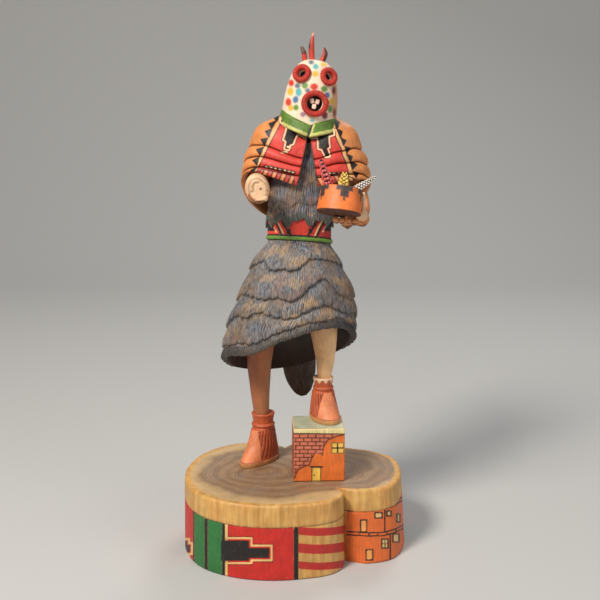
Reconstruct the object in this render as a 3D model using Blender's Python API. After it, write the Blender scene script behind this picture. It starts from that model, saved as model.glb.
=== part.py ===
# Carved and painted cottonwood doll on a slab base, with one foot raised on a small house block.
# Metres, +Z up, the doll faces -Y, and the origin is at the middle of the slab's underside.
import math

import bmesh
import bpy
from mathutils import Matrix, Vector

MM = 0.001

# Driving sizes of the stand
SLAB_THICKNESS = 60.0 * MM
SLAB_EDGE_ROUND = 2.0 * MM
SHARED_PLANE_STEP = 0.05 * MM
# Radii of each lobe from +X round to +Y and on, evenly spaced, in millimetres
BIG_LOBE_CENTRE = (-24.1 * MM, -1.4 * MM)
BIG_LOBE_RADII = [62, 56, 52, 55, 66.5, 71.3, 68.8, 65.2, 64, 65, 67, 67.5, 68.8, 72.4, 78.5, 69]
BIG_LOBE_FLARE = 1.0 * MM
SMALL_LOBE_CENTRE = (28.9 * MM, 10.6 * MM)
SMALL_LOBE_RADII = [56.2, 55.8, 50.8, 46.4, 50, 62, 56, 40, 34, 34, 36, 40, 46, 54.5, 61.8, 58.5]
SMALL_LOBE_FLARE = 4.0 * MM
# Where the cleft between the lobes ends at the top, how far it leans to +X at the bottom,
# and the corners of its open side, from that end
NOTCH = (31.9 * MM, -35.6 * MM)
NOTCH_LEAN = 3.0 * MM
NOTCH_MOUTH = ((7.0 * MM, -16.0 * MM), (40.0 * MM, -40.0 * MM), (40.0 * MM, -15.0 * MM))
CUT_BEYOND = 10.0 * MM
BLOCK_WIDTH = 40.0 * MM
BLOCK_DEPTH = 33.0 * MM
BLOCK_HEIGHT = 43.2 * MM
BLOCK_TAPER = 0.8 * MM
BLOCK_EDGE_ROUND = 0.8 * MM
GLUE_GAP = 0.3 * MM

# Driving sizes of the doll and what it carries
DOLL_HEIGHT = 322.0 * MM
RING_TUBE = 2.2 * MM
EYE_RING_RADIUS = 4.9 * MM
MOUTH_RING_RADIUS = 7.6 * MM
RING_FACING = 0.3
TOOTH_WIDTH = 2.9 * MM
BOWL_RADIUS = 16.1 * MM
BOWL_RIM_RADIUS = 14.4 * MM
BOWL_HEIGHT = 18.6 * MM
BOWL_WALL = 1.5 * MM
BOWL_FLOOR = 2.0 * MM
BOWL_FOOT_CHAMFER = 0.8 * MM
FINGER_THICK = 2.3 * MM
THUMB_THICK = 1.3 * MM

# The doll's forms are shares of its own height: one unit is a 322nd of it, about a millimetre
UNIT = DOLL_HEIGHT / 322.0
SLAB_TOP = SLAB_THICKNESS + GLUE_GAP
DOLL_PLACE = Vector((3.9 * MM, 0.6 * MM, SLAB_TOP))
BLOCK_TOP = SLAB_TOP + BLOCK_HEIGHT + GLUE_GAP
RIGHT_FOOT = DOLL_PLACE + Vector((-33.0, 21.5, 0.0)) * UNIT
LEFT_FOOT = DOLL_PLACE + Vector((19.8, -0.5, 0.0)) * UNIT + Vector((0.0, 0.0, BLOCK_TOP - SLAB_TOP))
BLOCK_CENTRE = (LEFT_FOOT.x - 5.6 * UNIT, LEFT_FOOT.y - 6.6 * UNIT)
BLOCK_TURN = math.radians(3.0)

COLOURS = {
    "wood": ((0.62, 0.42, 0.22), 0.55),
    "adobe": ((0.72, 0.26, 0.08), 0.55),
    "fur": ((0.22, 0.21, 0.22), 0.7),
    "red_paint": ((0.55, 0.06, 0.04), 0.5),
    "orange_paint": ((0.80, 0.30, 0.08), 0.5),
    "yellow_paint": ((0.75, 0.55, 0.12), 0.5),
    "cream_paint": ((0.80, 0.74, 0.62), 0.5),
}


def clear_scene():
    for old in list(bpy.data.objects):
        bpy.data.objects.remove(old, do_unlink=True)


def material(name):
    colour, roughness = COLOURS[name]
    made = bpy.data.materials.get(name) or bpy.data.materials.new(name)
    made.use_nodes = True
    shader = made.node_tree.nodes["Principled BSDF"]
    shader.inputs["Base Color"].default_value = (*colour, 1.0)
    shader.inputs["Roughness"].default_value = roughness
    return made


def at(x, y, z):
    """A point of the doll, in units from its own zero on the slab's top."""
    return DOLL_PLACE + Vector((x, y, z)) * UNIT


def smooth_between(rows, t):
    """Reads a row at t, from 0 to 1, on a smooth curve through the rows."""
    place = t * (len(rows) - 1)
    i = min(int(place), len(rows) - 2)
    u = place - i
    before, first, last, after = (rows[max(0, min(len(rows) - 1, i + k))] for k in (-1, 0, 1, 2))
    return [
        0.5 * (2 * b + (c - a) * u + (2 * a - 5 * b + 4 * c - d) * u * u + (3 * b - a - 3 * c + d) * u**3)
        for a, b, c, d in zip(before, first, last, after)
    ]


def around(values, angle):
    """Reads a list of values spaced evenly round the body, smoothly, at an angle from the front."""
    count = len(values)
    place = (angle / (2 * math.pi)) % 1.0 * count
    i = int(place)
    u = place - i
    a, b, c, d = (values[(i + k) % count] for k in (-1, 0, 1, 2))
    return 0.5 * (2 * b + (c - a) * u + (2 * a - 5 * b + 4 * c - d) * u * u + (3 * b - a - 3 * c + d) * u**3)


def corner(angle, power):
    """Where an oval of that squareness has its edge, as shares of its half width and half depth.
    The angle starts at the front and turns to the doll's left, which is +X."""
    s, c = math.sin(angle), math.cos(angle)
    return (
        math.copysign(abs(s) ** (2.0 / power), s),
        -math.copysign(abs(c) ** (2.0 / power), c),
    )


def angles(count):
    return [2 * math.pi * i / count for i in range(count)]


def new_object(name, mesh, paint):
    made = bpy.data.objects.new(name, mesh)
    bpy.context.scene.collection.objects.link(made)
    made.data.materials.append(material(paint))
    return made


def loft(name, rings, paint):
    """Joins rings of points, closed at both ends, into one solid whose faces point out."""
    bm = bmesh.new()
    rows = [[bm.verts.new(p) for p in ring] for ring in rings]
    count = len(rows[0])
    for low, high in zip(rows, rows[1:]):
        for i in range(count):
            j = (i + 1) % count
            bm.faces.new((low[i], low[j], high[j], high[i]))
    for ring in (rows[0], rows[-1]):
        middle = bm.verts.new(sum((v.co for v in ring), Vector()) / count)
        for i in range(count):
            bm.faces.new((ring[i], ring[(i + 1) % count], middle))
    bmesh.ops.recalc_face_normals(bm, faces=bm.faces)
    if bm.calc_volume(signed=True) < 0:
        bmesh.ops.reverse_faces(bm, faces=bm.faces)
    mesh = bpy.data.meshes.new(name)
    bm.to_mesh(mesh)
    bm.free()
    mesh.shade_smooth()
    mesh.set_sharp_from_angle(angle=math.radians(40))
    return new_object(name, mesh, paint)


def limb(name, stations, paint, segments=12, steps=1, power=2.0):
    """A round form through stations of (x, y, z, half width, half depth), level slices in units."""
    count = (len(stations) - 1) * steps
    rings = []
    for i in range(count + 1):
        x, y, z, wide, deep = smooth_between(stations, i / count)
        ring = []
        for angle in angles(segments):
            sx, sy = corner(angle, power)
            ring.append(at(x + wide * sx, y + deep * sy, z))
        rings.append(ring)
    return loft(name, rings, paint)


def tube(name, path, radii, paint, segments=8, steps=2, flat=1.0, side=Vector((1, 0, 0))):
    """A form swept along a smooth path of points in metres; flat squeezes it across its side direction."""
    count = (len(path) - 1) * steps
    rows = [[*point, radius] for point, radius in zip(path, radii)]
    places = [smooth_between(rows, i / count) for i in range(count + 1)]
    points = [Vector(row[:3]) for row in places]
    rings = []
    for i, row in enumerate(places):
        along = (points[min(i + 1, count)] - points[max(i - 1, 0)]).normalized()
        across = (side - along * side.dot(along)).normalized()
        over = along.cross(across)
        rings.append([
            points[i] + (across * math.sin(a) + over * flat * math.cos(a)) * row[3]
            for a in angles(segments)
        ])
    return loft(name, rings, paint)


def placed(local_points, matrix):
    return [matrix @ p for p in local_points]


def turned(name, profile, matrix, paint, segments=24, squash=1.0):
    """A turned solid from (radius, height) pairs about the local Z axis."""
    rings = [
        placed([Vector((r * math.sin(a), -r * squash * math.cos(a), h)) for a in angles(segments)], matrix)
        for r, h in profile
    ]
    return loft(name, rings, paint)


def combine(target, others, operation):
    """Unites the others with the target, or cuts them from it, and removes them."""
    for other in others:
        modifier = target.modifiers.new(other.name, "BOOLEAN")
        modifier.operation = operation
        modifier.solver = "EXACT"
        modifier.object = other
    bpy.context.view_layer.update()
    graph = bpy.context.evaluated_depsgraph_get()
    mesh = bpy.data.meshes.new_from_object(target.evaluated_get(graph))
    mesh.name = target.name
    target.modifiers.clear()
    target.data = mesh
    for other in others:
        bpy.data.objects.remove(other, do_unlink=True)
    return target


# The slab

def lobe(name, centre, radii, flare, paint):
    """One lobe of the slab, wider at the foot by flare, with its upper and lower edges rounded."""
    levels = (
        (0.0, -0.5),
        (SLAB_EDGE_ROUND * 0.5, 0.0),
        (SLAB_THICKNESS - SLAB_EDGE_ROUND, 0.0),
        (SLAB_THICKNESS - SLAB_EDGE_ROUND * 0.3, -0.3),
        (SLAB_THICKNESS, -1.0),
    )
    rings = []
    for height, inset in levels:
        out = flare * (1 - height / SLAB_THICKNESS) + inset * SLAB_EDGE_ROUND
        rings.append([
            Vector((
                centre[0] + (around(radii, a) * MM + out) * math.cos(a),
                centre[1] + (around(radii, a) * MM + out) * math.sin(a),
                height,
            ))
            for a in angles(36)
        ])
    return loft(name, rings, paint)


def make_slab():
    slab = lobe("base_slab", BIG_LOBE_CENTRE, BIG_LOBE_RADII, BIG_LOBE_FLARE, "wood")
    other = lobe("small_lobe", SMALL_LOBE_CENTRE, SMALL_LOBE_RADII, SMALL_LOBE_FLARE, "wood")
    # The two lobes share their top and bottom planes, so the small one is joined a hair inside them
    other.scale = (1.0, 1.0, 1.0 - 2 * SHARED_PLANE_STEP / SLAB_THICKNESS)
    other.location.z = SHARED_PLANE_STEP
    combine(slab, [other], "UNION")
    x, y = NOTCH
    rings = []
    for z, lean in ((-CUT_BEYOND, 1.0), (SLAB_THICKNESS + CUT_BEYOND, 0.0)):
        outline = [(x, y)] + [(x + px, y + py) for px, py in NOTCH_MOUTH]
        rings.append([Vector((px + lean * NOTCH_LEAN, py, z)) for px, py in outline])
    return combine(slab, [loft("notch", rings, "wood")], "DIFFERENCE")


# The house block

def make_block():
    mesh = bpy.data.meshes.new("house_block")
    bm = bmesh.new()
    bmesh.ops.create_cube(bm, size=1.0)
    for v in bm.verts:
        inset = BLOCK_TAPER if v.co.z > 0 else 0.0
        v.co.x *= BLOCK_WIDTH - inset
        v.co.y *= BLOCK_DEPTH - inset
        v.co.z = (v.co.z + 0.5) * BLOCK_HEIGHT
    bmesh.ops.bevel(bm, geom=bm.edges[:], offset=BLOCK_EDGE_ROUND, segments=2, affect="EDGES", profile=0.5)
    bm.to_mesh(mesh)
    bm.free()
    block = new_object("house_block", mesh, "adobe")
    block.location = (BLOCK_CENTRE[0], BLOCK_CENTRE[1], SLAB_TOP)
    block.rotation_euler.z = BLOCK_TURN
    return block


# Skirt, shirt and shawl share one way of hanging

def fur_edge(tier, angle):
    """How far down, as a share of the fall, a tier of fur hangs at an angle."""
    lobes = abs(math.sin(SCALLOPS / 2 * angle + 2.1 * tier)) - 0.5
    return 0.060 * lobes + 0.028 * math.sin(3 * angle + 2.1 * tier)


def garment(name, top, hem, rows, power, edges, sway, step, full, wall, inside, levels, paint, segments=34):
    """A hollow garment. top and hem are heights round the body from the front, in units; rows are
    (centre x, centre y, half width, half depth) from top to hem; edges are the shares of the fall
    where a tier ends, lower by sway at each angle; step is how far a tier stands out, at its lower
    edge, or in its middle where it is full; wall and inside shape the hollow below, and levels is
    how many rings each tier has between its ends."""

    def point(angle, share, out):
        x, y, wide, deep = smooth_between(rows, share)
        sx, sy = corner(angle, power)
        high, low = around(top, angle), around(hem, angle)
        return at(x + (wide + out) * sx, y + (deep + out) * sy, high + (low - high) * share)

    def ring(share, out, drops=(0.0, 0.0), tiers=(0, 0)):
        return [
            point(a, share + sum(drop * sway(tier, a) for drop, tier in zip(drops, tiers) if drop), out)
            for a in angles(segments)
        ]

    rings = []
    start = 0.0
    for tier, edge in enumerate([*edges, 1.0]):
        above = 1.0 if tier else 0.0
        below = 1.0 if edge < 1.0 else 0.0
        for k in range(levels + 2):
            part = k / (levels + 1)
            out = step * (math.sin(math.pi * part) if full else part)
            drops = (above * (1 - part), below * part)
            rings.append(ring(start + (edge - start) * part, out, drops, (tier - 1, tier)))
        start = edge + 0.012
    for share in (1.0, (1.0 + inside) / 2, inside):
        rings.append(ring(share, -wall))
    return loft(name, rings, paint)


SKIRT_TOP = [192, 190, 187, 185, 183.5, 183, 183, 184, 186, 188, 190, 191.5]
SKIRT_HEM = [117, 124, 120, 108, 95, 83, 74, 73, 79, 91, 99, 104]
SKIRT_ROWS = [
    (-0.5, 0.0, 23.5, 17.5),
    (-2.7, 0.8, 31.5, 23.0),
    (-3.2, 1.8, 38.5, 28.5),
    (-4.0, 3.2, 44.0, 32.5),
    (-6.0, 5.0, 48.6, 35.5),
    (-8.0, 6.2, 50.6, 37.5),
    (-9.0, 7.0, 51.6, 39.0),
]
SHAWL_TOP = [269, 276, 281, 283, 284, 285, 285, 285, 284, 284, 282, 277]
SHAWL_HEM = [231, 234, 235, 230, 216, 201, 196, 200, 213, 230, 241, 238]
SHAWL_ROWS = [
    (5.5, 3.0, 17.0, 14.5),
    (4.3, 3.8, 33.5, 20.0),
    (4.2, 4.4, 40.0, 23.5),
    (4.4, 4.4, 44.2, 26.0),
    (4.6, 4.0, 47.0, 27.0),
    (4.6, 3.4, 48.0, 27.0),
]
SHIRT_ROWS = [
    (4.5, 4.0, 20.0, 16.0),
    (2.5, 2.8, 22.0, 19.0),
    (0.8, 1.0, 23.6, 19.6),
    (-0.3, 0.0, 25.4, 20.0),
]
SKIRT_TIERS = [0.24, 0.50, 0.76]
# The shawl's folds at the front, and how much lower each is at the side
SHAWL_FOLDS = [0.465, 0.62, 0.795]
SHAWL_FOLD_SAG = [0.055, 0.13, 0.155]
LOCK_COUNT = 10
SCALLOPS = 9
LOCK_DROP = 4.5


def fold_edge(fold, angle):
    """How far down, as a share of the fall, a fold of the shawl sags at an angle."""
    return SHAWL_FOLD_SAG[fold] * abs(math.sin(angle))


def make_skirt():
    return garment(
        "skirt", SKIRT_TOP, SKIRT_HEM, SKIRT_ROWS, 2.1, SKIRT_TIERS, fur_edge, 2.0, False, 3.0, 0.58, 1, "fur")


def make_shirt():
    """The fur shirt: its lower edge ends in pointed locks that hang over the sash."""
    hem = [203 + 4.0 * math.cos(a) - LOCK_DROP * (k % 2) for k, a in enumerate(angles(LOCK_COUNT * 2))]
    return garment(
        "shirt", [262] * 4, hem, SHIRT_ROWS, 2.1, [0.55], fur_edge, 1.2, False, 2.0, 0.85, 0, "fur",
        segments=LOCK_COUNT * 2)


def make_shawl():
    """The shawl, creased by three folds, with its front cut open by a narrow wedge below the collar."""
    shawl = garment(
        "shawl", SHAWL_TOP, SHAWL_HEM, SHAWL_ROWS, 2.3, SHAWL_FOLDS, fold_edge, 1.3, True, 2.4, 0.50, 1,
        "orange_paint", segments=30)
    outline = ((6.6, 270.5), (-3.4, 226.0), (13.8, 226.0))
    wedge = loft(
        "wedge", [[at(x, y, z) for x, z in outline] for y in (-60.0, -4.0)], "orange_paint"
    )
    return combine(shawl, [wedge], "DIFFERENCE")


def make_sash():
    """The woven sash, tilted up at the front, with a cord along its lower edge."""
    profile = ((186.5, 24.0), (187.5, 25.4), (190.0, 25.4), (190.8, 24.6), (204.0, 24.4), (207.0, 23.0))
    rings = []
    for height, wide in profile:
        rings.append([
            at(-0.5 + wide * corner(a, 2.1)[0], (wide - 5.6) * corner(a, 2.1)[1],
               height + 4.2 * math.cos(a) - 1.6 * math.sin(a) - 1.0)
            for a in angles(24)
        ])
    return loft("sash", rings, "red_paint")


def make_collar():
    """The folded green collar: a band outside the mask's foot that meets in a sharp V at the front."""
    x, y, z = MASK_FOOT
    rings = []
    for out, drop in ((12.0, 0.0), (21.2, 1.2), (22.4, 0.0), (23.8, -8.0), (21.5, -9.0), (12.0, -8.0)):
        ring = []
        for a in angles(24):
            fold = abs(math.atan2(math.sin(a), math.cos(a))) / math.pi
            level = z - 5.3 + 7.8 * min(fold * 2.2, 1.0) ** 0.8 - 2.7 * math.sin(a)
            sx, sy = corner(a, 2.2)
            ring.append(at(x + (out - 1.6) * sx, y + out * sy, level + drop))
        rings.append(ring)
    return loft("collar", rings, "wood")


# Legs and feet

def make_legs():
    knee_lift = (LEFT_FOOT.z - SLAB_TOP) / UNIT
    right = [
        (-31.0, 24.5, 26.0, 5.0, 5.0),
        (-31.8, 25.5, 44.0, 6.6, 6.8),
        (-32.6, 25.0, 62.0, 8.0, 8.6),
        (-32.8, 22.0, 86.0, 10.2, 10.8),
        (-30.0, 16.0, 118.0, 12.5, 13.5),
        (-24.0, 10.0, 150.0, 15.0, 15.0),
    ]
    left = [
        (18.4, 3.0, knee_lift + 22.0, 4.0, 4.0),
        (19.2, 4.5, knee_lift + 35.0, 5.6, 6.2),
        (19.8, 4.5, knee_lift + 46.0, 7.2, 8.0),
        (19.2, 2.0, knee_lift + 62.0, 9.4, 10.4),
        (17.5, 0.0, knee_lift + 82.0, 12.0, 13.0),
        (14.0, 4.0, 150.0, 14.0, 14.0),
    ]
    return [limb("right_leg", right, "wood"), limb("left_leg", left, "wood")]


def moccasin(name, sole, heading, length, width, ankle, tie, cuff):
    """A high moccasin: a flat sole, a fan of fringe down from the ankle tie, and a flared cuff.
    sole is the middle of the sole in metres, heading turns the toe from straight ahead to +X;
    tie and cuff are their heights above the sole in units."""
    forward = Vector((math.sin(heading), -math.cos(heading), 0))
    aside = Vector((math.cos(heading), math.sin(heading), 0))
    # height, half length, half width, and how far the slice sits behind the middle of the sole
    slices = (
        (0.0, 0.485, 0.47, 0.00),
        (3.4, 0.50, 0.50, 0.00),
        (3.9, 0.475, 0.475, 0.00),
        (tie * 0.28, 0.43, 0.475, 0.03),
        (tie * 0.52, 0.345, 0.45, 0.07),
        (tie * 0.92, 0.255, 0.39, 0.10),
    )
    rings = []
    for height, long, wide, behind in slices:
        ring = []
        for a in angles(16):
            fold = 1.0 + (0.03 * math.cos(8 * a) if height > 5.0 else 0.0)
            ahead = length * (long * math.cos(a) * fold - behind)
            ring.append(sole + forward * ahead + aside * width * wide * math.sin(a) * fold
                        + Vector((0, 0, height * UNIT)))
        rings.append(ring)
    top = sole - forward * length * 0.10
    for height, radius in ((tie, 1.14), (tie + 2.4, 1.14), (tie + 3.4, 1.0), (cuff, 1.14), (cuff, 0.5)):
        rings.append([
            top + (forward * math.cos(a) + aside * math.sin(a)) * ankle * radius
            + Vector((0, 0, height * UNIT))
            for a in angles(16)
        ])
    return loft(name, rings, "red_paint")


RIGHT_HEADING = math.radians(-39.0)
LEFT_HEADING = math.radians(25.0)


def make_feet():
    right = moccasin(
        "right_moccasin", RIGHT_FOOT, RIGHT_HEADING, 44 * UNIT, 21 * UNIT, 8.0 * UNIT, 30.0, 41.0)
    left = moccasin(
        "left_moccasin", LEFT_FOOT, LEFT_HEADING, 34 * UNIT, 22.5 * UNIT, 6.8 * UNIT, 24.5, 34.2)
    return [right, left]


# Arms and hands

BOWL_FOOT = at(27.6, -49.0, 214.4)
BOWL_LEAN = Matrix.Rotation(math.radians(7.0), 4, "Y") @ Matrix.Rotation(math.radians(-16.5), 4, "X")
BOWL_PLACE = Matrix.Translation(BOWL_FOOT) @ BOWL_LEAN


def in_bowl(x, y, z):
    """A point of the bowl's own frame, which has its zero in the middle of the bowl's foot."""
    return BOWL_PLACE @ Vector((x, y, z))


def capsule(name, start, end, thick, paint, segments=6):
    """A finger: a short round bar with rounded ends, between two points in metres."""
    reach = (end - start).normalized()
    path = [start.lerp(end, t) for t in (0.0, 0.12, 0.88, 1.0)]
    radii = [thick * r for r in (0.45, 1.0, 1.0, 0.45)]
    side = Vector((0, 0, 1)) if abs(reach.z) < 0.8 else Vector((1, 0, 0))
    return tube(name, path, radii, paint, segments=segments, steps=1, side=side)


FIST_MIDDLE = (-30.6, 231.9)
FIST_HALF = (8.4, 10.4)
FIST_TILT = math.radians(20.0)
FIST_FINGERS = 4


def make_right_arm():
    """The right arm reaches forward; its fist is four curled fingers round a drilled grip."""
    path = ((-20, 8, 262), (-29, 13, 243), (-32.5, 13, 227), (-32, -4, 225), (-31, -26, 229), (-30.8, -38, 231))
    radii = [9 * UNIT, 8.5 * UNIT, 7.5 * UNIT, 6.4 * UNIT, 5.6 * UNIT, 5.6 * UNIT]
    arm = tube("right_arm", [at(*point) for point in path], radii, "wood")
    # depth and size of each slice: a full one for each finger and a groove between two
    slices = [(-34.5, 0.55)]
    for finger in range(FIST_FINGERS):
        slices += [(-35.5 - 3.6 * finger, 1.0), (-37.3 - 3.6 * finger, 0.93)]
    slices += [(-50.0, 0.86), (-51.6, 0.5)]
    x, z = FIST_MIDDLE
    rings = []
    for y, size in slices:
        ring = []
        for a in angles(12):
            wide, high = FIST_HALF[0] * size * math.sin(a), -FIST_HALF[1] * size * math.cos(a)
            ring.append(at(
                x + wide * math.cos(FIST_TILT) - high * math.sin(FIST_TILT),
                y,
                z + high * math.cos(FIST_TILT) + wide * math.sin(FIST_TILT),
            ))
        rings.append(ring)
    fist = loft("right_fist", rings, "wood")
    thumb = capsule("right_thumb", at(-33.0, -49.0, 223.5), at(-22.8, -49.5, 226.5), 2.6 * UNIT, "wood")
    combine(fist, [thumb], "UNION")
    grip = turned(
        "grip",
        ((0.9 * UNIT, -8 * UNIT), (0.9 * UNIT, 8 * UNIT)),
        Matrix.Translation(at(-28.2, -52.0, 231.7)) @ Matrix.Rotation(math.radians(90), 4, "X"),
        "wood",
        segments=8,
    )
    return [arm, combine(fist, [grip], "DIFFERENCE")]


def make_left_arm():
    """The left arm bends under the shawl; its open hand carries the bowl, with the fingers under the
    bowl's foot and the thumb up its side."""
    path = ((30, 8, 262), (39, 13, 243), (43, 12, 227), (46, -4, 217), (46.8, -16, 212), (44, -25, 208))
    radii = [9 * UNIT, 8.5 * UNIT, 7.5 * UNIT, 6.4 * UNIT, 5.2 * UNIT, 4.5 * UNIT]
    arm = tube("left_arm", [at(*point) for point in path], radii, "wood")
    under = -GLUE_GAP - FINGER_THICK
    palm = tube(
        "left_palm",
        [at(46.5, -18, 211), in_bowl(18 * MM, 22 * MM, under + 5 * MM), in_bowl(13 * MM, 15 * MM, under),
         in_bowl(5 * MM, 9 * MM, under)],
        [3.5 * UNIT, 6.5 * UNIT, 6.5 * UNIT, 4.5 * UNIT],
        "wood",
        steps=1,
        flat=0.32,
        side=Vector((1, 0.6, 0)),
    )
    heel = capsule(
        "left_heel", at(45.2, -25, 208.5), in_bowl(BOWL_RADIUS + 0.4 * MM, 2 * MM, 2.5 * MM), 4.6 * UNIT, "wood", 8)
    parts = [arm, palm, heel]
    for k in range(4):
        x = (-1.8 + 5.0 * k) * MM
        start = in_bowl(x * 0.8 + 2 * MM, 19 * MM, under)
        parts.append(capsule(f"left_finger_{k + 1}", start, in_bowl(x, 7.5 * MM, under), FINGER_THICK, "wood"))
    beside = GLUE_GAP + THUMB_THICK
    parts.append(capsule(
        "left_thumb",
        in_bowl(BOWL_RADIUS + beside, 2 * MM, 3 * MM),
        in_bowl(BOWL_RIM_RADIUS + beside + 0.2 * MM, 2 * MM, BOWL_HEIGHT - 0.5 * MM),
        THUMB_THICK,
        "wood",
    ))
    return parts


# The mask and what is glued on it

MASK_HEIGHT = 42.5 * UNIT
MASK_FOOT = (6.6, 3.5, 279.8)
MASK_LEAN = Matrix.Rotation(math.radians(7.0), 4, "Y") @ Matrix.Rotation(math.radians(3.0), 4, "X")
MASK_PLACE = Matrix.Translation(at(*MASK_FOOT)) @ MASK_LEAN
MASK_FOOT_RADIUS = 20.8 * UNIT
MASK_TAPER = 2.2 * UNIT
MASK_TUCK = 6.0 * UNIT


def mask_radius(share):
    """The mask's radius at a share of its height: a straight case that closes in a dome."""
    return (MASK_FOOT_RADIUS - MASK_TAPER * share) * max(0.0, 1 - share**3) ** (1 / 3)


def make_mask(name, grow=0.0):
    shares = [0.0, 0.3, 0.5, 0.64, 0.76, 0.86, 0.93, 0.975, 0.995]
    profile = [(mask_radius(s) + grow, s * MASK_HEIGHT + grow * s) for s in shares]
    return turned(name, [(profile[0][0], -MASK_TUCK), *profile[1:]], MASK_PLACE, "cream_paint", segments=22)


def on_mask(turn, share, out):
    """A frame on the mask's skin: Z points out of it. turn is from straight ahead to +X."""
    step = 0.01
    radius = mask_radius(share)
    slope = (mask_radius(share + step) - mask_radius(share - step)) / (2 * step * MASK_HEIGHT)
    normal = Vector((math.sin(turn), -math.cos(turn), -slope)).normalized()
    place = Vector((radius * math.sin(turn), -radius * math.cos(turn), share * MASK_HEIGHT)) + normal * out
    across = Vector((math.cos(turn), math.sin(turn), 0))
    upward = normal.cross(across)
    frame = Matrix((across, upward, normal)).transposed().to_4x4()
    return MASK_PLACE @ Matrix.Translation(place) @ frame


EYES = {"right": (math.radians(-33), 0.755), "left": (math.radians(39), 0.755)}
MOUTH = (math.radians(8), 0.295)


def make_ring(name, turn, share, radius, wide=1.0):
    """A rolled ring glued to the mask, with its back cut to the mask's skin."""
    place = on_mask(turn, share, RING_TUBE * 0.6) @ Matrix.Rotation(-RING_FACING * turn, 4, "Y")
    bm = bmesh.new()
    turns, sides = 14, 7
    grid = []
    for a in angles(turns):
        row = []
        for b in angles(sides):
            r = radius + RING_TUBE * math.cos(b)
            point = Vector((r * wide * math.cos(a), r * math.sin(a), RING_TUBE * math.sin(b)))
            row.append(bm.verts.new(place @ point))
        grid.append(row)
    for i in range(turns):
        here, there = grid[i], grid[(i + 1) % turns]
        for j in range(sides):
            k = (j + 1) % sides
            bm.faces.new((here[j], there[j], there[k], here[k]))
    bmesh.ops.recalc_face_normals(bm, faces=bm.faces)
    mesh = bpy.data.meshes.new(name)
    bm.to_mesh(mesh)
    bm.free()
    mesh.shade_smooth()
    ring = new_object(name, mesh, "red_paint")
    return combine(ring, [make_mask("mask_room", GLUE_GAP)], "DIFFERENCE")


def drill(name, turn, share, radius, depth):
    return turned(
        name, ((radius, -depth), (radius, RING_TUBE * 2)), on_mask(turn, share, 0.0), "wood", segments=16
    )


def make_teeth():
    """Two upper teeth and one lower tooth, left standing in the mouth hole."""
    teeth = []
    for k, (side, up, turn) in enumerate(((-1.9, 1.8, 0.2), (2.1, 1.6, -0.2), (0.0, -2.2, 0.0))):
        mesh = bpy.data.meshes.new(f"tooth_{k + 1}")
        bm = bmesh.new()
        bmesh.ops.create_cube(bm, size=1.0)
        for v in bm.verts:
            v.co.x *= TOOTH_WIDTH
            v.co.y *= TOOTH_WIDTH * 1.25
            v.co.z = v.co.z * 4.2 * MM - 2.6 * MM
        place = on_mask(*MOUTH, 0.0) @ Matrix.Translation((side * MM, up * MM, 0)) @ Matrix.Rotation(turn, 4, "Z")
        bm.transform(place)
        bm.to_mesh(mesh)
        bm.free()
        teeth.append(new_object(f"tooth_{k + 1}", mesh, "cream_paint"))
    return teeth


CREST = {
    # foot in the crown, middle and tip, in units from the top of the mask's own frame, then the half
    # widths there as shares of the last value
    "crest_feather_centre": ((-2.2, 5.9, -4.5), (-4.3, 7.4, 8.7), (-4.3, 9.3, 19.2), (0.9, 1.0, 0.25), 2.1),
    "crest_feather_right": ((-7.5, 6.2, -7.2), (-9.1, 7.3, 2.8), (-11.9, 8.3, 7.9), (1.0, 1.0, 0.6), 1.9),
    "crest_feather_left": ((2.9, 5.5, -4.9), (6.2, 7.1, 4.0), (5.2, 8.6, 9.3), (0.8, 1.0, 0.25), 2.1),
}


def make_crest():
    """Three curled feathers pegged into the crown, carved as slender blades."""
    made = []
    for name, (*places, shares, half) in CREST.items():
        path = [MASK_PLACE @ Vector((x * UNIT, y * UNIT, MASK_HEIGHT + z * UNIT)) for x, y, z in places]
        radii = [half * share * UNIT for share in shares]
        blade = tube(name, path, radii, "red_paint", segments=7, steps=3, flat=0.75)
        made.append(combine(blade, [make_mask("mask_room", GLUE_GAP)], "DIFFERENCE"))
    return made


def make_tail():
    """The fox pelt that hangs behind, from the sash to below the hem."""
    spine = (
        (0, 17, 193, 5), (-1, 26, 172, 8), (-2.5, 35, 145, 10), (-3, 43, 115, 12),
        (-1.5, 48.5, 88, 14), (0, 51, 66, 13), (2, 51.5, 52, 8), (3, 51.5, 46.5, 2.5),
    )
    path = [at(*row[:3]) for row in spine]
    radii = [row[3] * UNIT for row in spine]
    return tube("tail", path, radii, "fur", segments=10, steps=1, flat=0.42)


# The bowl and the corn

def make_bowl():
    profile = (
        (BOWL_RADIUS - BOWL_FOOT_CHAMFER, 0.0),
        (BOWL_RADIUS, BOWL_FOOT_CHAMFER),
        (BOWL_RIM_RADIUS, BOWL_HEIGHT - BOWL_WALL * 0.3),
        (BOWL_RIM_RADIUS - BOWL_WALL * 0.3, BOWL_HEIGHT),
        (BOWL_RIM_RADIUS - BOWL_WALL, BOWL_HEIGHT - BOWL_WALL * 0.2),
        (BOWL_RADIUS - BOWL_WALL, BOWL_FLOOR + BOWL_WALL),
        (BOWL_RADIUS - BOWL_WALL * 2, BOWL_FLOOR),
    )
    return turned("corn_bowl", profile, BOWL_PLACE, "orange_paint", segments=20)


def bowl_room():
    """The space that the hand leaves clear round the bowl."""
    profile = (
        (BOWL_RADIUS + GLUE_GAP, -GLUE_GAP),
        (BOWL_RADIUS + GLUE_GAP, BOWL_FOOT_CHAMFER),
        (BOWL_RIM_RADIUS + GLUE_GAP, BOWL_HEIGHT + GLUE_GAP),
    )
    return turned("bowl_room", profile, BOWL_PLACE, "wood", segments=20)


EAR_HALF = 4.2 * MM
EAR_LEAN_HALF = 2.7 * MM
EAR_ROWS = 8
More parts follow.
